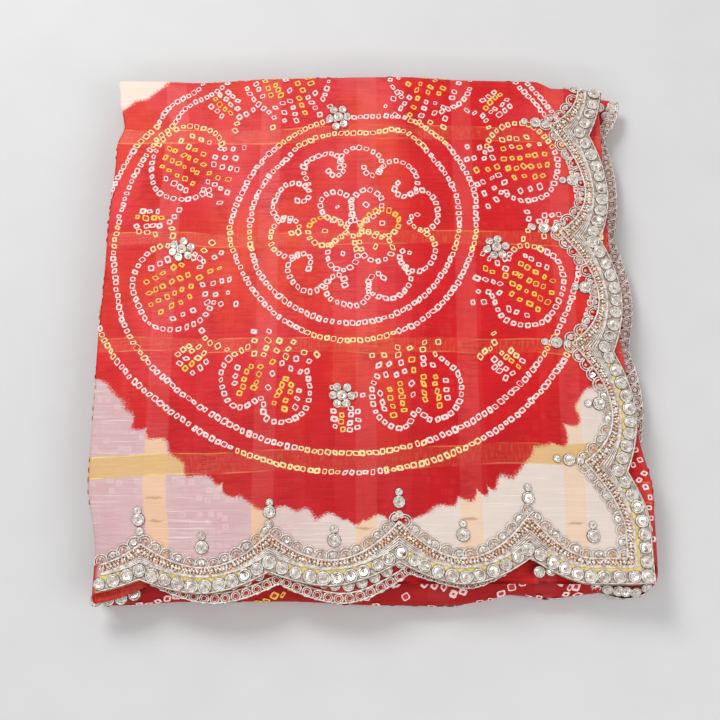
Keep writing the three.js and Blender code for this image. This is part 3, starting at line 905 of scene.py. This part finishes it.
# What is sewn at each place: template, finish, size, tilt, rise
RINGED_SEQUIN = [
    (RING, CORD, 1.0, 0.0, 0.3), (SHADOW_DISC, PAINTED_SHADOW, 1.0, 0.0, 0.3),
    (SEQUIN_CUP, SEQUIN, 0.84, 0.16, 0.7),
    (BEAD, COPPER_BEAD, 0.2, 0.0, 0.8),
]
CRESCENT = [(OUTER_ARC, CORD, 1.0, 0.0, 0.3), (INNER_ARC, CORD, 1.0, 0.0, 0.3)]
SHINY_MIDDLE = [(SEQUIN_CUP, SEQUIN, 1.7, 0.15, 0.5), (BEAD, COPPER_BEAD, 0.5, 0.0, 0.6)]
PLAIN_MIDDLE = [(BEAD, COPPER_BEAD, 1.0, 0.0, 0.4)]
FLOWER_PETAL = [
    (RING, CORD, 2.15, 0.0, 0.25), (SEQUIN_CUP, SEQUIN, 2.3, 0.3, 0.8), (BEAD, SILVER_BEAD, 0.55, 0.0, 0.8),
]
FLOWER_CENTRE = [
    (RING, CORD, 2.6, 0.0, 0.9), (SEQUIN_CUP, SEQUIN, 2.3, 0.1, 1.3), (BEAD, COPPER_BEAD, 0.8, 0.0, 1.5),
]
FRONT_LOWER_RINGS = [(RING, CORD, 2.55, 0.0, 0.15), (RING, CORD, 1.5, 0.0, 0.3)]
SIDE_LOWER_RINGS = [
    (RING, CORD, 3.3, 0.0, 0.15), (RING, CORD, 2.2, 0.0, 0.3), (SEQUIN_CUP, CORD, 1.4, 0.0, 0.3),
]


# Places and directions at a pitch along a path
def along_path(points, pitch, closed=False, jitter=0.0):
    points = np.asarray(points, float)
    if closed:
        points = np.concatenate([points, points[:1]])
    reached = np.concatenate([[0], np.cumsum(np.hypot(*np.diff(points, axis=0).T))])
    number = max(2, round(reached[-1] / pitch) + (0 if closed else 1))
    where = np.linspace(0, reached[-1], number, endpoint=not closed)
    where = where + vary(1, number) * jitter
    (x, y), after, before = (
        [np.interp(where + step, reached, points[:, k]) for k in (0, 1)] for step in (0, 0.5, -0.5)
    )
    return x, y, np.arctan2(after[1] - before[1], after[0] - before[0])


# A smooth path through a few points
def curve_through(points, steps=8):
    p = np.concatenate([2 * points[:1] - points[1:2], points, 2 * points[-1:] - points[-2:-1]])
    t = np.linspace(0, 1, steps, endpoint=False)[None, :, None]
    a, b, c, d = (p[k : len(p) - 3 + k, None] for k in range(4))
    path = 0.5 * (2 * b + (c - a) * t + (2 * a - 5 * b + 4 * c - d) * t**2 + (3 * b - a - 3 * c + d) * t**3)
    return np.concatenate([path.reshape(-1, 2), points[-1:]])


# Grid steps of the cloth: on the top run, on the middle run, and inside and near the ends of the last
TOP_STEP = 2.9
MIDDLE_STEP = 5.6
LAST_STEP = 14
FINE_STEP = 4
FINE_END = 12


def run_stations(length, step, fine=None):
    if fine is None:
        return np.linspace(0, length, max(2, round(length / step) + 1))
    edge = np.arange(0, FINE_END, fine)
    number = max(2, round((length - 2 * FINE_END) / step) + 1)
    return np.concatenate([edge, np.linspace(FINE_END, length - FINE_END, number), length - edge[::-1]])


# Flat distances at which the grid of the cloth has its lines
def grid_lines(fold, turn_steps):
    lines = []
    for k, steps in enumerate([(TOP_STEP,), (MIDDLE_STEP,), (LAST_STEP, FINE_STEP)]):
        start, end, _ = fold.runs[k]
        lines.append(fold.begins[k] + run_stations(abs(end - start), *steps))
        if fold.turn(k):
            first = fold.begins[k] + abs(end - start)
            lines.append(first + fold.turn(k) * np.arange(1, turn_steps) / turn_steps)
    return np.unique(np.round(np.concatenate(lines), 6))


# The cloth: one thin closed sheet on the folds of its solid
def make_cloth():
    flat = np.meshgrid(grid_lines(ACROSS, 5), grid_lines(ALONG, 8), indexing="ij")
    upper, u, v, hem = fold_up(*flat, SHEET / 2, cut=True)
    lower = fold_up(*flat, -SHEET / 2, cut=True)[0]
    rows, columns = u.shape
    total = rows * columns
    face = grid_quads(rows, columns)
    rim = np.concatenate([
        np.arange(columns),
        np.arange(1, rows) * columns + columns - 1,
        (rows - 1) * columns + np.arange(columns - 2, -1, -1),
        np.arange(rows - 2, 0, -1) * columns,
    ])
    after = np.roll(rim, -1)
    edge = np.stack([rim, after, after + total, rim + total], -1)
    quads = np.concatenate([face[:, ::-1], face + total, edge])
    points = np.concatenate([upper.reshape(-1, 3), lower.reshape(-1, 3)])
    cloth = make_object("bandhani_cloth", points, quads, [CLOTH], np.zeros(len(quads)))
    mesh = cloth.data
    plan = np.tile(np.stack([u.ravel(), v.ravel()], -1) * MM, (2, 1))
    corner = np.zeros(len(mesh.loops), np.int32)
    mesh.loops.foreach_get("vertex_index", corner)
    mesh.uv_layers.new(name="plan").data.foreach_set("uv", plan[corner].astype(np.float32).ravel())
    hems = mesh.attributes.new("hem", "FLOAT", "POINT")
    hems.data.foreach_set("value", np.tile(hem.ravel(), 2).astype(np.float32))
    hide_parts("cloth")
    return cloth


# Rows of the border, by their distance in from the outer line: at the middle of a scallop, at a
# notch, and how sharply they rise to it
EDGE_THREAD = (0.9, 12.6, 1.8)
SEQUIN_ROW = (4.5, 18.0, 1.8)
GOLD_STRIP = (8.9, 15.0, 1.8)
OUTER_CORDS = [(9.9, 22.6, 2.0), (10.2, 24.0, 2.0), (10.6, 25.6, 2.0), (11.0, 27.2, 2.0)]
INNER_CORD = (15.0, 35.0, 2.0)
CRESCENT_ROW = (16.6, 38.0, 1.85)
# Row, pitch, size, share of silver beads
BEAD_ROWS = [
    ((11.7, 28.9, 2.1), 1.9, 0.8, 0.25),
    ((12.8, 31.1, 2.1), 2.2, 1.1, 0.9),
    ((13.9, 33.4, 2.1), 1.9, 0.8, 0.25),
]
FRONT_START_X = -157.0
SIDE_END_V = 163.0
ROW_STEPS = 1600


def front_row(row, steps=ROW_STEPS):
    middle, notch, power = row
    x = np.linspace(FRONT_START_X, SIDE_EDGE_X - middle, steps)
    rise = np.where(x > FRONT_MIDDLE_X, 0, scallop(x, FRONT_NOTCH_X, SCALLOP, power))
    deeper = np.where(rise > 0, 1 + 0.0025 * x, 1)
    return np.stack([x, front_outer(x) + middle + (notch - middle) * rise * deeper], -1)


def side_row(row, steps=ROW_STEPS):
    middle, notch, power = row
    v = np.linspace(FRONT_EDGE_Y + middle, SIDE_END_V, steps)
    rise = np.where(v < SIDE_MIDDLE_Y, 0, scallop(v, SIDE_NOTCH_Y, SIDE_SCALLOP, power))
    inward = (notch - EDGE_THREAD[1]) / (INNER_CORD[1] - EDGE_THREAD[1])
    inset = middle + (notch - middle - 2 * (1 - inward)) * rise
    return np.stack([side_outer(v) - inset, v + SIDE_LEAN * inward * rise], -1)


GROUND_STEPS = 420
GROUND_SHARES = 17
GOLD_HALF = 0.095
COPPER_FROM = 0.62
SIDE_GOLD_END_Y = -30


# A strip that lies on the cloth under the stitches, from its outer to its inner row. Its copper part under
# the bead rows is darker, partly as painted shade.
def add_ground(work, row_of):
    outer, inner, gold = (row_of(row, GROUND_STEPS) for row in (EDGE_THREAD, INNER_CORD, GOLD_STRIP))
    share = np.linspace(0, 1, GROUND_SHARES)[:, None, None]
    plan = outer + (inner - outer) * share
    here, _, _, normal = frames(plan[..., 0], plan[..., 1])
    lift = np.where((share[..., 0] > 0) & (share[..., 0] < 1), 0.35, 0.02)
    place = (np.arange(GROUND_SHARES - 1)[:, None] + 0.5) / (GROUND_SHARES - 1)
    width = np.linalg.norm(inner - outer, axis=-1)
    golden = np.abs(place - (np.linalg.norm(gold - outer, axis=-1) / width)[None, 1:]) < GOLD_HALF
    if row_of is side_row:
        golden = golden & (outer[None, 1:, 1] < SIDE_GOLD_END_Y)
    finish = np.where(golden, EDGE_GOLD, np.where(place > COPPER_FROM, COPPER_GROUND_AND_SHADE, SILVER_GROUND))
    quads = grid_quads(GROUND_SHARES, GROUND_STEPS)[:, :: -1 if row_of is front_row else 1]
    work.add(here + normal * lift[..., None], quads, finish.ravel())


def make_border(name, node, row_of):
    work = Stitching(name, STITCHES, "border")
    add_ground(work, row_of)
    x, y, a = along_path(row_of(SEQUIN_ROW), 7.9, jitter=0.3)
    work.scatter(frames(x, y, a), RINGED_SEQUIN, 3.3 + vary(0.14, len(x)))
    for row, thick in [(EDGE_THREAD, 0.4), (INNER_CORD, 0.7)] + [(row, 0.42) for row in OUTER_CORDS]:
        work.cord(frames(*along_path(row_of(row), CORD_STEP)), thick, thick + 0.15)
    for row, pitch, size, silver in BEAD_ROWS:
        x, y, a = along_path(row_of(row), pitch, jitter=0.2)
        silver = rng.random(len(x)) < silver
        for chosen, finish in ((silver, SILVER_BEAD), (~silver, COPPER_BEAD)):
            number = chosen.sum()
            where = frames(x[chosen], y[chosen] + vary(0.12, number), a[chosen])
            work.scatter(where, [(BEAD, finish, 1.0, 0.0, 0.4)], size + vary(0.12, number))
    x, y, a = along_path(row_of(CRESCENT_ROW), 7.2, jitter=0.25)
    where = frames(x, y, a + vary(0.12, len(x)))
    work.scatter(where, CRESCENT, 3.9 + vary(0.2, len(x)))
    middle = frames(x - np.sin(a), y + np.cos(a), a)
    for start, parts in ((1, SHINY_MIDDLE), (0, PLAIN_MIDDLE)):
        work.scatter(tuple(part[start::2] for part in middle), parts)
    add_finials(work, row_of)
    border = work.build()
    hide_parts(node)
    return border


# Above each notch, a sequin on the lace with a large and a small one beyond it: inset, size
FRONT_FINIAL = [(38.5, 2.0), (45.5, 3.0), (51.0, 1.9)]
SIDE_FINIAL = [(37.5, 2.0), (44.0, 3.0), (51.0, 1.9)]
SIDE_FINIAL_SHIFTS = np.array([-0.5, -1.3, 1.0, -1.5])


def add_finials(work, row_of):
    x = FRONT_NOTCH_X + SCALLOP * np.arange(-3, 1)
    v = SIDE_NOTCH_Y + SIDE_LEAN * 1.2 + SIDE_SCALLOP * np.arange(0, 4) + SIDE_FINIAL_SHIFTS
    for inset, size in FRONT_FINIAL if row_of is front_row else SIDE_FINIAL:
        if row_of is front_row:
            where = frames(x, front_outer(x) + inset * (1.02 + 0.0007 * x))
        else:
            where = frames(side_outer(v) - inset, v + 0.1 * inset - 3.8)
        work.scatter(where, RINGED_SEQUIN, size)


# Sewn-on flowers and drops: name, x, y, turn
FLOWERS = [
    ("back", -21, 131.5, 0.1), ("left", -115.5, 45.5, 0.3), ("right", 77, 47, 0.2),
    ("front", -18, -47, 0.0),
]
DROPS = [
    ("front_1", -98.5, -133, 0), ("front_2", -22, -129, 0), ("front_3", 52, -126, 0),
    ("front_4", 127, -126.5, 0),
    ("side_1", 131, -52, 90), ("side_2", 127, 21, 90), ("side_3", 123.3, 93, 90),
]
PETAL_REACH = 5.6
# The two sequins of a drop: how far along it, size
DROP_SEQUINS = [(-3.3, 3.2), (2.9, 1.9)]


def make_flower(label, x, y, turn):
    work = Stitching("sequin_flower_" + label, STITCHES, "sequins")
    angle = turn + np.pi / 3 * np.arange(6) + vary(0.06, 6)
    reach = PETAL_REACH + vary(0.25, 6)
    work.scatter(frames(x + reach * np.cos(angle), y + reach * np.sin(angle), angle), FLOWER_PETAL)
    work.scatter(frames([x], [y]), FLOWER_CENTRE)
    flower = work.build()
    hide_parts("flower_" + label)
    return flower


def make_drop(label, x, y, turn):
    work = Stitching("sequin_drop_" + label, STITCHES, "sequins")
    a = math.radians(turn)
    for along, size in DROP_SEQUINS:
        work.scatter(frames([x - along * math.sin(a)], [y + along * math.cos(a)]), RINGED_SEQUIN, size)
    drop = work.build()
    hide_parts("drop_" + label)
    return drop


# Rings along a lower edge that peeks out with its back up, then a cord on each side of them. Each
# lies some way inward from the edge.
def add_lower_edge(work, edge, inward, inset, pitch, rings, cord_insets, thick):
    work.scatter(frames(*along_path(edge + np.multiply(inward, inset), pitch), side=-1), rings)
    for inset in cord_insets:
        where = frames(*along_path(edge + np.multiply(inward, inset), CORD_STEP), side=-1)
        work.cord(where, thick, 0.4)


# Rings and sequins on the edges of the plies below that peek out
def make_lower_edges():
    work = Stitching("lower_edge_stitches", STITCHES, "border")

    def sequins(u, v, size, side=-1):
        work.scatter(frames(u, v, side=side), RINGED_SEQUIN, size)

    x = np.arange(-116, 66, 7.3) + vary(0.5, 25)
    sequins(ply_u(1, x), front_edges(x)[1] + 10.4, 3.0 + vary(0.15, 25))
    x = np.linspace(-126, 74, 420)
    edge = np.stack([ply_u(1, x), front_edges(x)[1]], -1)
    add_lower_edge(work, edge, (0, 1), 2.9, 6.2, FRONT_LOWER_RINGS, (6.0, 0.6), 0.45)
    x = np.array([-160.0, -152.5, -145.0, -137.5])
    sequins(ply_u(2, x), front_edges(x)[2] - 0.8, 3.1, side=1)
    sequins(ply_u(1, [95.0, 101.5]), [-150.0, -149.0], 2.8)
    for v, size in ((474.5, 2.4), (479.0, 2.8), (483.5, 2.4)):
        x = np.arange(129, 159, 5.2) + vary(0.6, 6)
        sequins(ply_u(2, x), v + vary(0.5, 6), size)
    y = np.linspace(-120, 153.5, 500)
    edge = np.stack([side_edges(y)[1], layer_v(1, y)], -1)
    add_lower_edge(work, edge, (-1, 0), 4.1, 7.4, SIDE_LOWER_RINGS, (8.0, 0.8), 0.5)
    sequins([158, 154, 150, 146], layer_v(1, [152, 146, 152.5, 147]), 2.9)
    return work.build()


# The tied spots of the medallion. Rings: angle in degrees, radius
SPOT_PITCH = 4.05
SPOT_SIZE = 1.68
RINGS = [
    [
        (0, 65.4), (21, 67.3), (37, 67.4), (64, 72.5), (83, 64), (119, 65), (136, 62.5), (171, 64.4),
        (211, 66),
        (250, 64.5), (300, 63.5), (329, 63),
    ],
    [
        (0, 76), (20, 79), (49, 80.6), (60, 82), (90, 75), (128, 73), (159, 73.3), (184, 76.6), (207, 74.6),
        (250, 75.5), (300, 74.5), (335, 74),
    ],
    [
        (0, 141.5), (39, 144.6), (90, 134), (120, 126), (132, 129), (146, 137), (155, 139), (174, 143),
        (191, 147),
        (206, 150), (235, 146), (270, 144), (300, 143), (335, 141),
    ],
    [
        (0, 153), (35, 150), (90, 142), (120, 131), (135, 138), (148, 146), (174, 152), (191, 158),
        (206, 164),
        (235, 158), (270, 155.6), (300, 155), (335, 153),
    ],
]

# Motifs round the medallion. Large: angle, radius, turn in degrees, size, kind. Small: angle, radius.
LARGE_MOTIFS = [
    (157, 110, 6, 1.0, "dome"), (201, 112, -4, 1.05, "dome"), (243, 112, 3, 1.0, "pair"),
    (289, 111, -5, 1.0, "pair"), (339, 110, 4, 1.0, "dome"), (22, 111, -3, 1.05, "dome"),
    (64, 110, 5, 1.0, "dome"), (113, 107, -4, 0.95, "pair"),
]
SMALL_MOTIFS = [(0, 122), (43, 124), (90, 120), (134, 118), (179, 124), (222, 127), (268, 122), (316, 127)]

# Outlines of tied spots about the middle of a motif: across and outward from the medallion
OUTLINES = {
    "dome": [
        (-13, -15), (-23, -7), (-27, 5), (-22, 17), (-10, 24), (4, 25), (17, 20), (25, 9), (24, -5),
        (14, -15),
    ],
    "pair": [
        (-20, -14), (-27, -3), (-26, 10), (-17, 20), (-6, 20), (1, 12), (9, 20), (19, 19), (27, 9),
        (26, -4), (19, -14),
    ],
}
# Lines of tied spots: colour, start x and y, end x and y, number
LINES = {
    "dome": [
        ("white", -19, -3, -16, 12, 4), ("yellow", -13, -4, -8, 17, 5), ("yellow", -6, -6, -1, 18, 6),
        ("yellow", 1, -6, 6, 18, 6), ("yellow", 8, -4, 12, 13, 4), ("white", 17, -4, 18, 8, 3),
    ],
    "pair": [
        ("white", -20, 0, -18, 10, 3), ("yellow", -14, -4, -12, 13, 5), ("yellow", -7, -6, -5, 8, 4),
        ("white", 1, -4, 1, 3, 2), ("yellow", 8, -5, 9, 11, 5), ("yellow", 14, -3, 16, 12, 4),
        ("white", 20, -1, 21, 8, 3),
    ],
    "tail": [
        ("white", -15, -12, -21, -25, 3), ("white", -9, -13, -13, -28, 4),
        ("yellow", -3, -12, -4, -25, 3), ("white", 3, -13, 4, -28, 4), ("white", 9, -12, 12, -25, 3),
        ("white", 15, -13, 20, -27, 3),
    ],
    "small": [
        ("white", -7.5, -3, -7, 6, 3), ("white", -2.5, -6, -2.5, 8, 4), ("yellow", 2.5, -6, 2.5, 8, 4),
        ("white", 7.5, -3, 7, 6, 3), ("white", -9, -14, 0, -12, 3), ("white", 4, -14, 9, -17, 2),
    ],
}
# One lobe of the cloud round the centre, ending in a hook, and one petal of the centre flower
CLOUD_LOBE = [(-14, -6), (-14, 2), (-8, 7.5), (1, 8.5), (9, 5), (12, -2), (9, -9), (3, -10), (1, -5)]
CLOUD_LOBES = 10
CLOUD_RADIUS = 44.5
PETAL = [
    (-1.5, 5), (-6.5, 11), (-9.5, 18.5), (-6.5, 26), (0, 28.5), (6.5, 26), (9.5, 18.5), (6.5, 11),
    (1.5, 5),
]
PETALS = [(65, "white"), (125, "white"), (185, "yellow"), (248, "white"), (318, "white"), (12, "yellow")]
FLOWER_MIDDLE = (-11.0, 59.5)


class Spots:
    """The tied spots by colour: plan place, direction and size of each."""

    def __init__(self):
        self.rows = {"white": [], "yellow": []}

    def add(self, colour, x, y, angle, size=1.0):
        columns = np.broadcast_arrays(np.atleast_1d(x), y, angle, size)
        self.rows[colour].append(np.stack(columns, -1))

    # Spots given about a middle, across and outward, and turned to face out
    def facing(self, colour, middle, facing, x, y, angle):
        px = x * math.sin(facing) + y * math.cos(facing) + middle[0]
        py = y * math.sin(facing) - x * math.cos(facing) + middle[1]
        self.add(colour, px, py, angle)

    def along(self, colour, path, middle, facing, pitch):
        x, y, angle = along_path(curve_through(path), pitch, jitter=0.18)
        self.facing(colour, middle, facing, x, y, angle + facing - math.pi / 2)

    def lines(self, kind, middle, facing, size, flip):
        for colour, x0, y0, x1, y1, number in LINES[kind]:
            share = np.linspace(0, 1, number)
            x = flip * size * (x0 + (x1 - x0) * share) + vary(0.45, number)
            y = size * (y0 + (y1 - y0) * share) + vary(0.45, number)
            self.facing(colour, middle, facing, x, y, facing + vary(0.12))


def ring_path(rows):
    angle, radius = columns_of(rows + [(rows[0][0] + 360, rows[0][1])])
    angle = np.radians(angle)
    fine = np.linspace(angle[0], angle[-1], 721)[:-1]
    k = np.clip(np.searchsorted(angle, fine, side="right") - 1, 0, len(rows) - 1)
    reach = radius[k] + (radius[k + 1] - radius[k]) * smooth(angle[k], angle[k + 1], fine)
    return np.stack([MEDALLION[0] + reach * np.cos(fine), MEDALLION[1] + reach * np.sin(fine)], -1)


def polar(middle, angle, radius):
    return np.array([middle[0] + radius * math.cos(angle), middle[1] + radius * math.sin(angle)])


def uneven(path, size, amount):
    path = np.asarray(path, float) * size
    return path + vary(amount, path.shape)


def medallion_spots(spots):
    for rows in RINGS:
        x, y, angle = along_path(ring_path(rows), SPOT_PITCH, True, 0.22)
        drift = vary(0.2, len(x))
        spots.add("white", x + drift * np.sin(angle), y - drift * np.cos(angle), angle)
    for angle, radius, turn, size, kind in LARGE_MOTIFS:
        facing = math.radians(angle + turn)
        middle = polar(MEDALLION, math.radians(angle), radius)
        flip = -1 if rng.random() < 0.5 else 1
        spots.along("white", uneven(OUTLINES[kind], size, 0.8) * (flip, 1), middle, facing, 4.5)
        spots.lines(kind, middle, facing, size, flip)
        spots.lines("tail", middle, facing, size * 0.98, flip)
    for angle, radius in SMALL_MOTIFS:
        facing = math.radians(angle)
        spots.lines("small", polar(MEDALLION, facing, radius), facing, 1.0, -1 if rng.random() < 0.5 else 1)
    for k in range(CLOUD_LOBES):
        facing = 2 * math.pi * (k + 0.3) / CLOUD_LOBES + vary(0.03)
        middle = polar(MEDALLION, facing, CLOUD_RADIUS + vary(0.8))
        spots.along("white", uneven(CLOUD_LOBE, 1.0, 0.5), middle, facing, 4.3)
    for angle, colour in PETALS:
        facing = math.radians(angle)
        spots.along(colour, uneven(PETAL, 1.0, 0.4), FLOWER_MIDDLE, facing, 4.6)
        spots.add("white", *polar(FLOWER_MIDDLE, facing, 18), facing)


# Short rows of spots on the lowest front fold: first x, v, last x, v, number
LOW_FRONT_ROWS = [
    (-8, 477, 12, 484, 5), (14, 475, 24, 483, 3), (30, 476, 52, 477.5, 5), (34, 482, 56, 485, 5),
    (62, 482, 86, 476, 5), (70, 486, 96, 480, 5), (100, 484, 122, 475.5, 5), (-34, 477, -16, 483, 4),
    (-66, 481, -42, 477, 6), (-140, 482, -108, 478, 7), (-100, 477, -78, 484, 5), (60, 475, 66, 474, 2),
    (108, 475, 118, 480, 3), (16, 471, 26, 468, 3), (40, 470, 60, 467, 4), (76, 470, 84, 466, 3),
    (98, 470, 112, 468, 3), (0, 471, -8, 468, 3), (-20, 489, 30, 488, 9), (40, 489, 90, 489, 9),
    (-130, 488, -60, 489, 11),
]
# Spots on the second ply, where it shows at the right beyond the top one: x, y
SECOND_PLY_SPOTS = [
    (157, -46), (158.5, -51), (154, -60), (158, -66), (153, -73), (157, -79), (158, -85), (153, -88),
    (158, -93),
    (154, -97), (157, -101), (159, -107), (158, -113), (159, -119), (158, -125), (159, -131),
]


def low_spots(spots):
    for x0, v0, x1, v1, number in LOW_FRONT_ROWS:
        share = np.linspace(0, 1, number)
        v = v0 + (v1 - v0) * share + vary(0.5, number)
        colour = "white" if number % 2 else "yellow"
        spots.add(colour, ply_u(2, x0 + (x1 - x0) * share), v, vary(0.4), 1.25)
    x, y = columns_of(SECOND_PLY_SPOTS)
    spots.add("white", ply_u(1, x), y, vary(0.4, len(x)), 0.95)


# Rows of spots round the folds at the left and the right, which show from the sides. On each
# layer: start and end y.
FOLD_ROWS = [(-110, 120), (-130, 140), (-140, 130)]
FOLD_REACH = 2.1
FOLD_PITCH = 6.3


def fold_spots(left, right):
    for layer, ends in enumerate(FOLD_ROWS):
        for spots, ply, turn_x in ((left, 0, -ACROSS_TURN_X), (right, 1, ACROSS_TURN_X)):
            y = np.arange(*ends, FOLD_PITCH)
            y = y[np.sin(y * 0.11 + layer * 2 + ply) > -0.55]
            u = ply_u(ply, turn_x) - FOLD_REACH + vary(0.3, len(y))
            v = layer_v(layer, y + vary(0.5, len(y)))
            spots.add("yellow" if layer == 1 else "white", u, v, vary(0.3), 0.9)


# A tied spot: a low, drawn-up ring of undyed cloth round a dyed middle. Rings: size, height.
SQUARE = np.array([
    (1, 0.66), (0.66, 1), (-0.66, 1), (-1, 0.66), (-1, -0.66), (-0.66, -1), (0.66, -1), (1, -0.66),
])
SPOT_SHAPE, SPOT_QUADS = turned([(1.0, 0.02), (0.88, 0.2), (0.5, 0.17), (0.38, 0.05)], 8, SQUARE)
SPOT_INSIDE = 16
SPOT_MIDDLE_QUADS = 11
SPOT_RISE = 0.08
BACK_SPOTS_END_V = 168
LEFT_SPOTS_FROM_U = -163
FLOOR_CLEARANCE = 0.2
RESIST_HALF = 8


# Near the level gold bands the resist took the gold thread's colour
def near_level_band(x, y):
    middle, pitch = LEVEL_BANDS
    slope = BAND_SLOPE * x * smooth(*SLOPING_Y, y)
    return np.abs((y - slope - middle + pitch / 2) % pitch - pitch / 2) < RESIST_HALF


def add_spots(name, spots, side):
    work = Stitching(name, SPOTS, "cloth")
    for colour, rows in spots.rows.items():
        u, v, angle, size = np.concatenate(rows).T
        if side > 0:
            v = v - smooth(80, HALF, v) * outline_at(BACK_SIDE, u)
        keep = (v < BACK_SPOTS_END_V) | (u < LEFT_SPOTS_FROM_U) | (side < 0)
        u, v, angle, size = (column[keep] for column in (u, v, angle, size))
        number = len(u)
        where = frames(u, v, angle + vary(0.16, number), side)
        stretch = SPOT_SIZE * size[:, None] * (1 + vary(0.13, (number, 2)))
        skew = vary(0.16, number)[:, None]
        opened = 1 + vary(0.18, number)[:, None]
        opened = np.where(np.arange(len(SPOT_SHAPE)) >= SPOT_INSIDE, opened, 1)
        a, b = (opened * SPOT_SHAPE[None, :, k] for k in (0, 1))
        rise = SPOT_SHAPE[None, :, 2] + SPOT_RISE
        points = laid(where, (a + skew * b) * stretch[:, :1], b * stretch[:, 1:], rise)
        clear = points[..., 2].min(1) > FLOOR_CLEARANCE
        cream = near_level_band(u, v) & (side > 0)
        plain = WHITE_SPOT if colour == "white" else YELLOW_SPOT
        for chosen, finish in ((~cream, plain), (cream, CREAM_SPOT)):
            finishes = np.full(len(SPOT_QUADS), finish)
            finishes[-SPOT_MIDDLE_QUADS:] = RED_SPOT
            work.add_copies(points[chosen & clear], SPOT_QUADS, finishes)
    return work.build()


def make_spots():
    top, low = Spots(), Spots()
    medallion_spots(top)
    low_spots(low)
    fold_spots(top, low)
    return [add_spots("tied_spots_top", top, 1), add_spots("tied_spots_low", low, -1)]


# The camera, the floor and soft studio light
CAMERA_PLACE = (-0.0056, -0.2061, 0.6541)
CAMERA_AIM = (-0.0056, -0.0256, 0.0245)
LENS = 54.6
SENSOR = 36
FLOOR_HALF = 3
FLOOR_GREYS = ((0.62, 0.62, 0.62), (0.66, 0.66, 0.66))
WORLD_STRENGTH = 0.42
LIGHT_AIM = (0, 0, 0.02)
# Name, place, size, power
LIGHTS = [
    ("key", (-0.55, 0.75, 0.95), (0.5, 0.5), 11), ("fill", (0.9, -0.5, 0.9), (0.9, 0.7), 6),
    ("strip", (-0.2, -0.9, 0.8), (1.2, 0.15), 3),
]


# A camera or light that looks from its place at an aim
def place_looking(name, data, place, aim):
    made = linked(name, data)
    made.location = place
    made.rotation_mode = "QUATERNION"
    made.rotation_quaternion = (Vector(place) - Vector(aim)).to_track_quat("Z", "Y")
    return made


def make_camera():
    data = bpy.data.cameras.new("photo_view")
    data.lens = LENS
    data.sensor_width = SENSOR
    data.clip_start = 0.01
    bpy.context.scene.camera = place_looking("photo_view", data, CAMERA_PLACE, CAMERA_AIM)


def add_light(name, place, size, power):
    data = bpy.data.lights.new(name, "AREA")
    data.shape = "RECTANGLE"
    data.size, data.size_y = size
    data.energy = power
    place_looking(name, data, place, LIGHT_AIM)


def make_floor():
    mesh = bpy.data.meshes.new("floor")
    corners = [(x * FLOOR_HALF, y * FLOOR_HALF, 0) for x, y in ((-1, -1), (1, -1), (1, 1), (-1, 1))]
    mesh.from_pydata(corners, [], [(0, 1, 2, 3)])
    floor = linked("floor", mesh)
    floor.location.z = -0.0004
    material, t, shader = new_material("pale_floor")
    t.fill(shader, {"Base Color": t.blend(t.noise(t.here(), 30.0), *FLOOR_GREYS), "Roughness": 0.9})
    mesh.materials.append(material)


def make_studio():
    make_floor()
    world = bpy.data.worlds.new("studio")
    bpy.context.scene.world = world
    world.use_nodes = True
    background = world.node_tree.nodes["Background"]
    background.inputs[0].default_value = (1, 1, 1, 1)
    background.inputs[1].default_value = WORLD_STRENGTH
    for row in LIGHTS:
        add_light(*row)
    bpy.context.scene.view_settings.view_transform = "Standard"


make_camera()
make_studio()
cloth = make_cloth()
sewn_on = [
    make_border("embroidered_border_front", "border_front", front_row),
    make_border("embroidered_border_side", "border_side", side_row),
    *[make_flower(*row) for row in FLOWERS],
    *[make_drop(*row) for row in DROPS],
    make_lower_edges(),
    *make_spots(),
]
